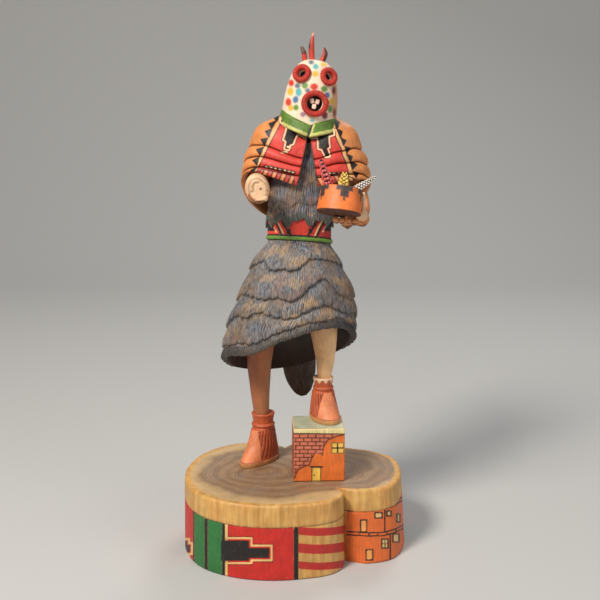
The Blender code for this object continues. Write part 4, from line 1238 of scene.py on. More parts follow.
maskPlan = {
    "height": 0.0425, "footRadius": 0.0208, "taper": 0.0022, "tuck": 0.006,
    "place": dollMatrix(6.6, 3.5, 279.8, 7, 3),
    # turn from the front and share of the height
    "eyes": [(math.radians(-33), 0.755), (math.radians(39), 0.755)], "mouth": (math.radians(8), 0.295),
    "ringTube": 0.0022, "eyeRing": 0.0049, "mouthRing": 0.0076,
    # each dot in the front view: its place, its half width and half height and its paint
    "dots": [
        (315.6, 66.6, 2.6, 2.4, "cyan"), (311.3, 62.3, 2.2, 1.8, "slate"), (323.8, 64.2, 2.8, 2.0, "yellow"),
        (315.2, 73.8, 2.8, 2.6, "yellow"), (291.2, 82.9, 2.6, 3.0, "red"), (297.5, 85.8, 2.4, 2.2, "slate"),
        (305, 85.6, 3.0, 2.6, "green"), (314, 86.7, 3.5, 3.0, "red"), (324.3, 89, 3.0, 2.8, "green"),
        (290.5, 91.5, 2.8, 3.5, "yellow"), (298.7, 92.3, 2.8, 4.0, "cyan"), (307.5, 90.3, 2.2, 2.0, "slate"),
        (327, 95.3, 2.4, 2.8, "blue"), (333.8, 90.6, 1.6, 3.2, "darkRed"), (288.5, 102, 2.7, 3.5, "red"),
        (295.6, 99.6, 2.6, 3.2, "blue"), (331.4, 101.6, 2.4, 3.0, "yellow"),
        (290.8, 107.8, 2.5, 2.6, "yellow"),
        (296, 107.6, 2.4, 2.6, "green"), (330, 109, 2.0, 3.2, "green"), (303, 114.5, 2.6, 2.4, "lilac"),
        (324.7, 115.4, 2.8, 3.3, "darkRed"), (312.3, 119.9, 2.6, 1.8, "cyan"),
        (334.4, 112.6, 1.2, 3.0, "darkRed"),
    ],
    "backRows": 5, "backDot": 2.4,
}
dotPaints = {
    "cyan": srgb(90, 176, 176), "slate": srgb(104, 120, 134), "yellow": srgb(226, 180, 66),
    "red": srgb(214, 64, 46), "green": srgb(104, 142, 62), "blue": srgb(76, 116, 156),
    "lilac": srgb(160, 118, 138), "darkRed": srgb(134, 52, 56),
}


def maskRadius(share):
    return (maskPlan["footRadius"] - maskPlan["taper"] * share) * max(0.0, 1 - abs(share) ** 3) ** (1 / 3)


def onMask(turn, share, out):
    step = 0.01
    radius, high = maskRadius(share), maskPlan["height"]
    slope = (maskRadius(share + step) - maskRadius(share - step)) / (2 * step * high)
    normal = Vector((math.sin(turn), -math.cos(turn), -slope)).normalized()
    place = Vector((radius * math.sin(turn), -radius * math.cos(turn), share * high)) + normal * out
    across = Vector((math.cos(turn), math.sin(turn), 0))
    turned = Matrix((across, normal.cross(across), normal)).transposed().to_4x4()
    return maskPlan["place"] @ Matrix.Translation(place) @ turned


def inFrame(grid, matrix):
    back = np.array(matrix.inverted())
    return grid @ back[:3, :3].T + back[:3, 3]


def makeMask():
    plan = maskPlan
    rise = np.linspace(0, 1, int(130 * fine)) ** 0.9 * (math.pi / 2 - 0.03)
    profile = [(plan["footRadius"], -plan["tuck"]), (plan["footRadius"], -plan["tuck"] / 2)]
    for t in rise:
        share = math.sin(t) ** (2 / 3)
        profile.append((maskRadius(share), share * plan["height"]))
    grid = turnedGrid(profile, plan["place"], 300)
    grid = carved(grid, 0.00022 * pointNoise(grid, 0.009, 1.0) + 0.00006 * pointNoise(grid, 0.002, 4.0))
    hole = np.zeros(grid.shape[:2])
    mouthHole = plan["mouthRing"] - plan["ringTube"] * 0.6
    eyeHole = plan["eyeRing"] - plan["ringTube"] * 0.8
    for (turn, share), reach, deep in (
            (plan["mouth"], mouthHole, 0.0045),
            (plan["eyes"][0], eyeHole, 0.003),
            (plan["eyes"][1], eyeHole, 0.003)):
        matrix = onMask(turn, share, 0.0)
        local = inFrame(grid, matrix)
        inside = np.clip((reach - np.hypot(local[..., 0], local[..., 1])) / 0.0007, 0, 1)
        inside *= local[..., 2] > -0.008
        grid = grid - np.array(matrix.to_3x3().col[2]) * (inside * deep)[..., None]
        hole = np.maximum(hole, inside)
    x, y = frontSpot(grid)
    front = skinNormals(grid)[..., 1] < 0.1
    # the carved mouth and eye holes are painted near black, which also stands in for the shade deep inside
    # them
    fields = {"holePaint": (0.5 - hole) * 8}
    for paint in dotPaints:
        spots = [(np.hypot((x - dx) / wide, (y - dy) / high) - 1) * min(wide, high) - 0.35
                 for dx, dy, wide, high, kind in plan["dots"] if kind == paint]
        fields[paint + "Dot"] = np.where(front, anyOf(*spots), farAway)
    # behind, rows of dots in the same paints
    local = inFrame(grid, plan["place"])
    angle = np.arctan2(local[..., 0], local[..., 1])
    dotRandom = np.random.default_rng(3)
    for row in range(plan["backRows"]):
        for k in range(plan["backRows"]):
            spotTurn = (k - 2 + 0.5 * (row % 2)) * 0.55 + dotRandom.uniform(-0.08, 0.08)
            spotHigh = 0.004 + row * 0.0078 + dotRandom.uniform(-0.001, 0.001)
            away = np.hypot((angle - spotTurn) * 19.0, (local[..., 2] - spotHigh) * 1000) - plan["backDot"]
            key = list(dotPaints)[dotRandom.integers(7)] + "Dot"
            fields[key] = np.where(front, fields[key], np.minimum(fields[key], away))
    fields["sidePaint"] = np.where(front, 332.5 - x, farAway)
    dotLayers = [(paint + "Dot", colour) for paint, colour in dotPaints.items()]
    look = paintedLook("maskLook", srgb(246, 218, 188), [
        ("sidePaint", srgb(222, 166, 118)), *dotLayers, ("holePaint", srgb(26, 14, 10)),
    ], mottle=0.15, rub=0.04, bump=0.25, wobble=0.6, soft=0.9)
    dress(gridPiece("maskCase", grid, fields=fields, sharp=50), look, "figure")


teethPlan = {
    # places in the mouth's own frame, across and up, and turns
    "places": [(-0.0019, 0.0018, 0.2), (0.0021, 0.0016, -0.2), (0.0, -0.0022, 0.0)],
    "size": (0.0030, 0.0037, 0.0042), "sunk": 0.0026, "round": 0.0007,
}


def makeTeeth():
    pieces = []
    wide, high, deep = teethPlan["size"]
    mouth = onMask(*maskPlan["mouth"], 0.0)
    for k, (side, up, turn) in enumerate(teethPlan["places"]):
        bm = bmesh.new()
        bmesh.ops.create_cube(bm, size=1.0)
        for v in bm.verts:
            v.co = Vector((v.co.x * wide, v.co.y * high, v.co.z * deep - teethPlan["sunk"]))
        edges = bm.edges[:]
        bmesh.ops.bevel(bm, geom=edges, offset=teethPlan["round"], segments=4, affect="EDGES", profile=0.5)
        bm.transform(mouth @ Matrix.Translation((side, up, 0)) @ Matrix.Rotation(turn, 4, "Z"))
        mesh = bpy.data.meshes.new(f"tooth{k + 1}")
        bm.to_mesh(mesh)
        bm.free()
        mesh.shade_smooth()
        tooth = bpy.data.objects.new(f"tooth{k + 1}", mesh)
        bpy.context.scene.collection.objects.link(tooth)
        pieces.append(tooth)
    look = paintedLook("toothLook", srgb(250, 222, 196), mottle=0.12, rub=0.05)
    dress(joinPieces("maskTeeth", pieces), look, "figure")


makeMask()
makeTeeth()
print("collar and mask made")


# Rings of wrapped cord, by Geometry Nodes

def newTree(name, inputs):
    # a Geometry Nodes tree with these inputs, whole numbers or sizes, and one for its paint
    tree = bpy.data.node_groups.new(name, "GeometryNodeTree")
    tree.interface.new_socket(name="Geometry", in_out="OUTPUT", socket_type="NodeSocketGeometry")
    for label, value in inputs.items():
        kind = "NodeSocketInt" if isinstance(value, int) else "NodeSocketFloat"
        tree.interface.new_socket(name=label, in_out="INPUT", socket_type=kind).default_value = value
    tree.interface.new_socket(name="Paint", in_out="INPUT", socket_type="NodeSocketMaterial")
    return tree, tree.nodes.new("NodeGroupInput"), tree.nodes.new("NodeGroupOutput")


def endTree(tree, given, result, geometry):
    real = addNode(tree, "GeometryNodeRealizeInstances", {"Geometry": geometry})
    painted = {"Geometry": real.outputs[0], "Material": given.outputs["Paint"]}
    tree.links.new(addNode(tree, "GeometryNodeSetMaterial", painted).outputs[0], result.inputs[0])
    return tree


def kept(tree, geometry, name, value, domain="POINT"):
    # that geometry with a value stored on it
    inputs = {"Geometry": geometry, "Name": name}
    node = addNode(tree, "GeometryNodeStoreNamedAttribute", inputs, data_type="FLOAT", domain=domain)
    if isinstance(value, bpy.types.NodeSocket):
        tree.links.new(value, node.inputs["Value"])
    else:
        node.inputs["Value"].default_value = value
    return node.outputs[0]


def makeRingTree():
    tree, given, result = newTree(
        "cordRing", {"Radius": 0.005, "Tube": 0.002, "Wide": 1.0, "Wraps": 28.0, "Cut": 0.1})
    radius, tube = given.outputs["Radius"], given.outputs["Tube"]
    circle = addNode(tree, "GeometryNodeCurvePrimitiveCircle", {"Resolution": 480, "Radius": radius})
    share = addNode(tree, "GeometryNodeSplineParameter").outputs["Factor"]
    wraps = maths(tree, "MULTIPLY", share, given.outputs["Wraps"])
    part = maths(tree, "ABSOLUTE", maths(tree, "SUBTRACT", maths(tree, "FRACT", wraps), 0.5))
    # near 1 in the groove between two wraps, 0 on their backs
    gap = maths(tree, "POWER", maths(tree, "MULTIPLY", part, 2.0), 3.0)
    thick = maths(tree, "SUBTRACT", 1.0, maths(tree, "MULTIPLY", gap, given.outputs["Cut"]))
    # the groove field darkens the gaps between wraps as painted shade
    path = kept(tree, circle.outputs["Curve"], "groove", gap)
    ring = addNode(tree, "GeometryNodeCurvePrimitiveCircle", {"Resolution": 20, "Radius": tube})
    swept = addNode(tree, "GeometryNodeCurveToMesh", {
        "Curve": path, "Profile Curve": ring.outputs["Curve"], "Scale": thick})
    wide = addNode(tree, "ShaderNodeCombineXYZ", {"X": given.outputs["Wide"], "Y": 1.0, "Z": 1.0}).outputs[0]
    whole = addNode(tree, "GeometryNodeTransform", {"Geometry": swept.outputs[0], "Scale": wide})
    return endTree(tree, given, result, whole.outputs[0])


def grown(name, tree, values, matrix):
    # runs a Geometry Nodes tree with these inputs and keeps its result as a plain mesh in place
    holder = bpy.data.objects.new(name, bpy.data.meshes.new(name + "Seed"))
    bpy.context.scene.collection.objects.link(holder)
    modifier = holder.modifiers.new("grow", "NODES")
    modifier.node_group = tree
    sockets = {item.name: item.identifier for item in tree.interface.items_tree if item.in_out == "INPUT"}
    for key, value in values.items():
        modifier[sockets[key]] = value
    bpy.context.view_layer.update()
    graph = bpy.context.evaluated_depsgraph_get()
    mesh = bpy.data.meshes.new_from_object(holder.evaluated_get(graph))
    holder.modifiers.clear()
    holder.data = mesh
    mesh.transform(matrix)
    mesh.update()
    bm = bmesh.new()
    bm.from_mesh(mesh)
    bmesh.ops.recalc_face_normals(bm, faces=bm.faces)
    bm.to_mesh(mesh)
    bm.free()
    mesh.shade_smooth()
    return holder


ringLook = paintedLook("ringLook", srgb(200, 52, 36), groove="groove", mottle=0.25, rub=0.1, bump=0.3)
ringTree = makeRingTree()
ringPlans = {
    "mouth_ring": (*maskPlan["mouth"], {"Radius": maskPlan["mouthRing"], "Wide": 1.06, "Wraps": 38.0}),
    "eye_ring_right": (*maskPlan["eyes"][0], {"Radius": maskPlan["eyeRing"], "Wide": 1.0, "Wraps": 24.0}),
    "eye_ring_left": (*maskPlan["eyes"][1], {"Radius": maskPlan["eyeRing"], "Wide": 1.0, "Wraps": 24.0}),
}
for node, (turn, share, values) in ringPlans.items():
    # the eye rings face a little more to the front than the mask does there
    place = onMask(turn, share, maskPlan["ringTube"] * 0.6) @ Matrix.Rotation(-0.3 * turn, 4, "Y")
    values = {**values, "Tube": maskPlan["ringTube"], "Cut": 0.2, "Paint": ringLook}
    ring = grown(node.split("_")[0] + "Cord" + node.split("_")[-1].title(), ringTree, values, place)
    dress(ring, ringLook, node)
print("rings made")


# Crest

crestPlan = {
    "crest_feather_centre": ([(9.1, 7.4, 318), (8.6, 8.2, 331.5), (9.9, 9.6, 342)], (0.9, 1.0, 0.25), 2.1),
    "crest_feather_right": ([(3.5, 7.8, 316), (3.1, 8.4, 326.2), (1.0, 9.2, 331.6)], (1.0, 1.0, 0.6), 1.9),
    "crest_feather_left": ([(14.1, 7, 317), (18.5, 8.2, 325.5), (18.1, 9.4, 331)], (0.8, 1.0, 0.25), 2.1),
}


def makeCrest():
    look = paintedLook("crestLook", srgb(198, 62, 38), [
        ("darkPaint", srgb(96, 40, 32)), ("greyPaint", srgb(108, 82, 68)), ("palePaint", srgb(230, 160, 124)),
    ], groove="groove", mottle=0.3, rub=0.1, soft=0.8)
    for node, (path, shares, half) in crestPlan.items():
        grid = tubeGrid(path, [half * share for share in shares], 60, 48, flat=0.75)
        angle = np.broadcast_to(turns(48 * fine), grid.shape[:2])
        along = np.linspace(0, 1, grid.shape[0])[:, None] + 0 * angle
        barb = np.abs(((angle * 2.2 + along * 9) % 1.0) - 0.5)
        cut = np.clip(1 - barb / 0.18, 0, 1) * (np.abs(np.sin(angle)) > 0.25)
        grid = carved(grid, -0.00022 * cut)
        # each feather has its own dark side or tip
        x, y = frontSpot(grid)
        fields = {"groove": 0.6 * cut, "greyPaint": farAway, "palePaint": farAway, **{
            "crest_feather_centre": {"darkPaint": boxAway(x, y, 300, 35, 310.6, 49), "palePaint": y - 36.0},
            "crest_feather_right": {"darkPaint": stripAway(y, 50.5, 54), "greyPaint": y - 51.5},
            "crest_feather_left": {"darkPaint": 323.2 - x - 1.2 * np.sin(angle)},
        }[node]}
        name = "crest" + node.split("_")[-1].title()
        dress(gridPiece(name, grid, fields=fields), look, node)


makeCrest()
print("crest made")


# Legs and moccasins

footPlans = {
    "right": {"sole": dollPoint(-33.0, 21.5, 0.0), "heading": math.radians(-39), "length": 44.0,
              "width": 21.0, "ankle": 8.0, "tie": 30.0, "cuff": 41.0},
    "left": {"sole": dollPoint(19.8, -0.5, 43.5), "heading": math.radians(25), "length": 34.0,
             "width": 22.5, "ankle": 6.8, "tie": 24.5, "cuff": 34.2},
}
legPlans = {
    "right": [(-31, 24.5, 26, 5, 5), (-31.8, 25.5, 44, 6.6, 6.8), (-32.6, 25, 62, 8, 8.6),
              (-32.8, 22, 86, 10.2, 10.8), (-30, 16, 118, 12.5, 13.5), (-24, 10, 150, 15, 15)],
    "left": [(18.4, 3, 65.5, 4, 4), (19.2, 4.5, 78.5, 5.6, 6.2), (19.8, 4.5, 89.5, 7.2, 8),
             (19.2, 2, 105.5, 9.4, 10.4), (17.5, 0, 125.5, 12, 13), (14, 4, 150, 14, 14)],
}
# painted shade and light on the skin: its tone at the skirt, what it gains down to the ankle and on its lit
# side
legToneAndShade = {"right": (0.02, 0.17, 0.09), "left": (0.58, 0.32, 0.18)}


def makeLegs():
    def skin(tree):
        # the tone field carries painted shade and light: low is dark red-brown, high is pale
        return mixColour(tree, field(tree, "tone"), srgb(146, 62, 24), srgb(252, 206, 148))

    look = paintedLook("legLook", skin, groove="groove", mottle=0.2, rub=0.05, bump=0.4)
    pieces = []
    for side, stations in legPlans.items():
        grid = limbGrid(stations, 130, 90)
        facets = pointNoise(grid * np.array((1, 1, 0.35)), 0.006, 9.0)
        grid = carved(grid, 0.0003 * facets + 0.00008 * pointNoise(grid, 0.002, 6.0))
        # painted shade: the right leg is painted darker and redder, both are darker under the skirt and pale
        # towards the ankle and on their lit side
        facing = skinNormals(grid)[..., 0]
        down = np.clip((130 - (grid[..., 2] - dollPlace[2]) / unit) / 70, 0, 1)
        start, fall, lit = legToneAndShade[side]
        fields = {
            "groove": np.clip(-facets - 0.25, 0, 1) * 0.35,
            "tone": np.clip(start + fall * down + lit * facing, 0, 1),
        }
        pieces.append(gridPiece(side + "Leg", grid, fields=fields))
    dress(joinPieces("dollLegs", pieces), look, "figure")


def footPoint(plan, angle, height, long, wide, behind, fold):
    forward = np.array((math.sin(plan["heading"]), -math.cos(plan["heading"]), 0))
    aside = np.array((math.cos(plan["heading"]), math.sin(plan["heading"]), 0))
    ahead = plan["length"] * (long * np.cos(angle) * fold - behind)
    across = plan["width"] * wide * np.sin(angle) * fold
    up = np.broadcast_to(height, ahead.shape)
    return plan["sole"] + unit * (forward * ahead[..., None] + aside * across[..., None]
                                  + np.array((0, 0, 1.0)) * up[..., None])


def makeMoccasin(side):
    plan = footPlans[side]
    tie, cuff = plan["tie"], plan["cuff"]
    # height, half length, half width and how far back, the last three in shares of the foot
    slices = [(0.0, .485, .47, 0), (1.2, .495, .49, 0), (3.4, .50, .50, 0), (3.9, .475, .475, 0),
              (tie * 0.28, .43, .475, .03), (tie * 0.52, .345, .45, .07),
              (tie * 0.74, .295, .415, .088), (tie * 0.92, .255, .39, .10)]
    # above them the cord and the cuff, in shares of the ankle
    tops = [(tie - 0.3, 1.02), (tie, 1.14), (tie + 1.1, 1.2), (tie + 2.3, 1.12), (tie + 2.9, 1.0),
            (tie + 3.4, 1.02), (cuff - 3.0, 1.12), (cuff - 0.8, 1.2), (cuff, 1.12), (cuff - 0.2, 0.95),
            (cuff - 1.0, 0.7)]
    ankleLong, ankleWide = plan["ankle"] / plan["length"], plan["ankle"] / plan["width"]
    slices += [(height, ankleLong * grow, ankleWide * grow, 0.10) for height, grow in tops]
    table = np.array(slices)
    steps = np.hypot(np.diff(table[:, 0]), np.diff(table[:, 1]) * plan["length"])
    lengths = np.concatenate([[0], np.cumsum(np.maximum(steps, 0.2))])
    places = np.linspace(0, lengths[-1], int(150 * fine))
    places = np.unique(np.concatenate([places, lengths]))
    high, long, wide, behind = (np.interp(places, lengths, table[:, k])[:, None] for k in range(4))
    angle = turns(260 * fine)[None]
    upper = np.clip((high - 4.5) / 2.0, 0, 1) * np.clip((tie * 0.93 - high) / 1.0, 0, 1)
    vamp = np.clip((np.cos(angle) - 0.25 - 0.68 * np.clip(high / tie, 0, 1)) / 0.07, 0, 1)
    fringe = np.abs(((angle * 15 / np.pi + 0.3 * np.sin(3 * angle)) % 1.0) - 0.5)
    cut = nearness(fringe, 0.2) * upper * (1 - vamp)
    grid = footPoint(plan, angle + 0 * high, high + 0 * angle, long, wide, behind, 1 + 0 * angle)
    edge = nearness(vamp - 0.5, 0.5) * upper
    cord = np.abs(((angle * 12 / np.pi + high * 0.35) % 1.0) - 0.5)
    cordCut = nearness(cord, 0.2) * nearness(high - tie - 1.1, 1.3)
    rough = 0.00012 * pointNoise(grid, 0.004, 2.0)
    grid = carved(grid, rough - unit * (0.75 * cut + 0.35 * edge + 0.25 * cordCut))
    level = high + 0 * angle
    # painted shade in the fringe and cord cuts, along the vamp's edge and on the seam above the sole
    dark = 0.9 * cut + 0.6 * edge + 0.5 * cordCut + 0.8 * nearness(level - 3.9, 0.5)
    cream = cuff - 2.4 - level + 1.4 * np.sin(angle * 9) if side == "left" else farAway
    fields = {
        "groove": np.clip(dark, 0, 1),
        "solePaint": level - 3.4,
        "fringePaint": np.where((level > 4.2) & ((vamp < 0.5) | (level > tie * 0.93)), -2.0, 2.0),
        "creamPaint": cream,
    }
    return gridPiece(side + "Moccasin", grid, fields=fields, sharp=50)


def makeFeet():
    look = paintedLook("moccasinLook", srgb(230, 136, 88), [
        ("fringePaint", srgb(192, 90, 50)), ("solePaint", srgb(206, 146, 90)),
        ("creamPaint", srgb(240, 204, 166)),
    ], groove="groove", mottle=0.26, rub=0.03, bump=0.35)
    pair = joinPieces("dollMoccasins", [makeMoccasin("right"), makeMoccasin("left")])
    dress(pair, look, "figure")


makeLegs()
makeFeet()
print("legs and moccasins made")


# Arms and hands

def fingerGrid(start, end, thick, rows=30, columns=30):
    a, b = np.array(start, float), np.array(end, float)
    long = np.linalg.norm(b - a)
    reach = (b - a) / long
    lean = np.linspace(-np.pi / 2, 0, 7)
    tip = thick * (1 + np.sin(lean))
    places = np.concatenate([tip, np.linspace(thick, long - thick, rows)[1:-1], long - tip[::-1]])
    radii = np.concatenate([thick * np.cos(lean), np.full(rows - 2, thick), thick * np.cos(lean)[::-1]])
    radii = np.maximum(radii, 0.05)
    side = np.array((0, 0, 1.0)) if abs(reach[2]) < 0.8 else np.array((1.0, 0, 0))
    across = side - reach * (side @ reach)
    across /= np.linalg.norm(across)
    over = np.cross(reach, across)
    angle = turns(columns * max(fine, 0.7))
    ring = across * np.sin(angle)[:, None] + over * np.cos(angle)[:, None]
    points = a + reach * places[:, None]
    return (points[:, None] + ring[None] * radii[:, None, None]) * unit + dollPlace


bowlPlan = {
    "radius": 0.0161, "rim": 0.0144, "height": 0.0186, "wall": 0.0015, "floor": 0.0020, "chamfer": 0.0008,
    "place": dollMatrix(27.6, -49.0, 214.4, 7, -16.5),
    # the stepped motif: how many round the bowl, their turn, and the right half of one, across and down
    "motifs": 5, "turn": 7.0, "steps": [(-1, -1, 6.9, 3.8), (-1, 3, 3.4, 8.6), (-1, 8, 0.9, 11.0)],
}
handLook = paintedLook("handLook", srgb(234, 190, 148), [
    ("blushPaint", srgb(216, 142, 90)), ("shadePaint", srgb(118, 66, 38)), ("holePaint", srgb(40, 20, 14)),
], groove="groove", mottle=0.16, rub=0.05, bump=0.3, soft=0.9)
sleeveLook = paintedLook("sleeveLook", srgb(214, 136, 80), groove="groove", mottle=0.25, rub=0.1)


def plainFields(grid, groove=None, **others):
    plain = {"groove": np.zeros(grid.shape[:2]) if groove is None else groove}
    for name in ("shadePaint", "blushPaint", "holePaint"):
        plain[name] = np.broadcast_to(others.get(name, 3.0), grid.shape[:2])
    return plain


def makeSleeve(name, path, radii):
    arm = tubeGrid(path, radii, 90, 60)
    sleeve = gridPiece(name, arm, fields={"groove": np.zeros(arm.shape[:2])})
    dress(sleeve, sleeveLook, "figure")


fistPlan = {
    "middle": (-30.6, 231.9), "half": (8.4, 10.4), "tilt": math.radians(20),
    # where the fist starts, where its flat end is and how far that end bulges
    "start": -34.5, "end": -50.0, "bulge": 1.6, "finger": 3.6,
    # the curled fingers seen end on, in front-view places
    "curls": [[(249.5, 195), (248.5, 188), (249.5, 183), (252, 179.8), (256, 178.2), (260, 178.8),
               (263, 181.5)], [(253.5, 192), (253, 187), (255, 183.5), (258.5, 183)]],
    "hole": (260.7, 189.0), "under": [(248, 196.5), (252, 200.5), (257, 202.5), (263, 200)],
    "spots": [(264.5, 183.5), (266.8, 190.5), (251.2, 191.5)],
}


def makeRightArm():
    makeSleeve("rightSleeve", [
        (-20, 8, 262), (-29, 13, 243), (-32.5, 13, 227), (-32, -4, 225), (-31, -26, 229), (-30.8, -38, 231),
    ], [9, 8.5, 7.5, 6.4, 5.6, 5.6])
    # the fist: four curled fingers side by side, the first one nearest the front
    plan = fistPlan
    start, end, bulge = plan["start"], plan["end"], plan["bulge"]
    angle = turns(180 * fine)[None]
    flat = end - bulge * np.sin(np.linspace(0.1, 1.57, 16))
    depth = np.concatenate([np.linspace(start, end, int(110 * fine)), flat])[:, None]
    back = np.clip((start - depth) / (start - end), 0, 1)
    knuckle = np.abs(((-depth - 33.7) / plan["finger"] % 1.0) - 0.5) * 2
    between = nearness(knuckle, 0.5) * (back > 0.1) * (back < 0.95)
    rounded = np.sqrt(np.clip(1 - ((end - depth) / 1.62) ** 2, 0, 1))
    size = np.minimum(1.0, 0.55 + back * 6) - 0.07 * between
    size = np.minimum(size, 1 - 0.14 * np.clip((back - 0.9) / 0.1, 0, 1))
    size = np.where(depth < end, 0.86 * (0.72 + 0.28 * rounded), size)

    def fistRing(depth, size):
        wide, high = plan["half"][0] * size * np.sin(angle), -plan["half"][1] * size * np.cos(angle)
        cosine, sine = math.cos(plan["tilt"]), math.sin(plan["tilt"])
        across, up = wide * cosine - high * sine, high * cosine + wide * sine
        return dollPoint(plan["middle"][0] + across, depth, plan["middle"][1] + up)

    fist = fistRing(depth, size)
    rim = float(size[-1, 0])
    shares = np.linspace(0.96, 0.04, int(34 * fine) + 4)
    caps = np.concatenate([fistRing(np.array([[-51.62 - 0.25 * (1 - s)]]), rim * s) for s in shares])
    grid = np.concatenate([fist, caps])
    # the gaps between the fingers are darkened as painted shade
    grooves = np.clip(between * 1.1, 0, 1) + 0 * angle
    grooves = np.concatenate([grooves, np.zeros((len(caps), angle.shape[1]))])
    x, y = frontSpot(grid)
    onEnd = grid[..., 1] < dollPlace[1] - 49.0 * unit
    curls = np.maximum(np.where(onEnd, lines(x, y, plan["curls"], 0.4), farAway), 0)
    grid = carved(grid, -0.0006 * nearness(curls, 1.6))
    spots = anyOf(*(np.hypot(x - a, y - b) - 0.5 for a, b in plan["spots"]))
    fields = plainFields(
        grid, np.clip(grooves + 0.45 * nearness(curls, 1.4), 0, 1),
        # brown smudges on the fist's end, and painted shade in the crease along its lower edge
        shadePaint=np.where(onEnd, anyOf(spots, lineAway(x, y, plan["under"], 1.2)), 3.0),
        blushPaint=np.where(onEnd, lineAway(x, y, plan["under"], 2.4), 3.0),
        # a dark spot is painted where the fist's hole is: painted shade in place of a carved hole
        holePaint=np.where(onEnd, np.hypot(x - plan["hole"][0], y - plan["hole"][1]) - 1.1, 3.0))
    thumb = fingerGrid((-33.0, -49.0, 223.5), (-22.8, -49.5, 226.5), 2.6)
    tx, ty = frontSpot(thumb)
    # the dark gap along the thumb is painted shade
    thumbShade = lineAway(tx, ty, [(248, 202), (264, 202)], 1.5)
    pieces = [gridPiece("fistRight", grid, fields=fields),
              gridPiece("thumbRight", thumb, fields=plainFields(thumb, shadePaint=thumbShade))]
    dress(joinPieces("rightFist", pieces), handLook, "figure")


def upOf(grid):
    # heights in the doll's own units
    return (grid[..., 2] - dollPlace[2]) / unit


def bowlSpot(x, y, z):
    # a place in the bowl's own frame, given in doll units, as a place in the doll's frame
    point = bowlPlan["place"] @ Vector((x * unit, y * unit, z * unit))
    return tuple((np.array(point) - dollPlace) / unit)


def makeLeftArm():
    makeSleeve("leftSleeve", [
        (30, 8, 262), (39, 13, 243), (43, 12, 227), (46, -4, 217), (46.8, -16, 212), (44, -25, 208),
    ], [9, 8.5, 7.5, 6.4, 5.2, 4.5])
    # the palm and fingers lie this far under the bowl's foot
    under = -2.6
    palmPath = [(46.5, -18, 211), bowlSpot(18, 22, under + 5), bowlSpot(13, 15, under), bowlSpot(5, 9, under)]
    palm = tubeGrid(palmPath, [3.5, 6.5, 6.5, 4.5], 60, 60, flat=0.32, side=(1, 0.6, 0))
    # the palm, heel and fingers go darker below a height: painted shade under the bowl, together with their
    # darker stain
    palmFields = plainFields(palm, blushPaint=-2.0, shadePaint=1.2 * (upOf(palm) - 204.5))
    heel = fingerGrid((45.2, -25, 208.5), bowlSpot(16.5, 2, 2.5), 4.6)
    heelFields = plainFields(heel, shadePaint=1.2 * (upOf(heel) - 205.6))
    pieces = [gridPiece("palmLeft", palm, fields=palmFields), gridPiece("heelLeft", heel, fields=heelFields)]
    for k in range(4):
        x = -1.8 + 5 * k
        finger = fingerGrid(bowlSpot(0.8 * x + 2, 19, under), bowlSpot(x, 7.5, under), 2.3)
        pieces.append(gridPiece(f"fingerLeft{k + 1}", finger, fields=plainFields(
            finger, blushPaint=-2.0, shadePaint=1.4 * (upOf(finger) - 206.5))))
    thumb = fingerGrid(bowlSpot(17.7, 2, 3), bowlSpot(16.2, 2, 18.1), 1.3)
    pieces.append(gridPiece("thumbLeft", thumb, fields=plainFields(thumb)))
    dress(joinPieces("leftHand", pieces), handLook, "figure")


makeRightArm()
makeLeftArm()
print("arms and hands made")


# The pelt that hangs behind

def makeTail():
    spine = [(0, 17, 193), (-1, 26, 172), (-2.5, 35, 145), (-3, 43, 115), (-1.5, 48.5, 88), (0, 51, 66),
             (2, 51.5, 52), (3, 51.5, 46.5)]
    grid = tubeGrid(spine, [5, 8, 10, 12, 14, 13, 8, 2.5], 220, 150, flat=0.42)
    angle = np.broadcast_to(turns(150 * fine), grid.shape[:2])
    along = np.linspace(0, 1, grid.shape[0])[:, None] + 0 * angle
    strand = angle * 26 / np.pi + 4 * (roundNoise(angle / (2 * np.pi), along, 21, 30, 16) - 0.5)
    cut = (np.abs(2 * (strand % 1.0) - 1)) ** 2
    grid = carved(grid, -0.0005 * cut * (0.4 + 0.6 * roundNoise(angle / (2 * np.pi), along, 22, 60, 24)))
    fields = {
        "groove": 0.8 * cut,
        "ridge": 0 * cut,
        "tanFleck": roundNoise(angle / (2 * np.pi), along, 23, 50, 12),
        "rustFleck": roundNoise(angle / (2 * np.pi), along, 24, 50, 9),
        "hemShare": np.where(along > 0.55, 1.0, 0.0),
    }
    look = furLook("tailLook", srgb(122, 96, 72), srgb(70, 54, 44), srgb(44, 36, 32))
    dress(gridPiece("backPelt", grid, fields=fields, sharp=None), look, "figure")


makeTail()


# The bowl and its corn

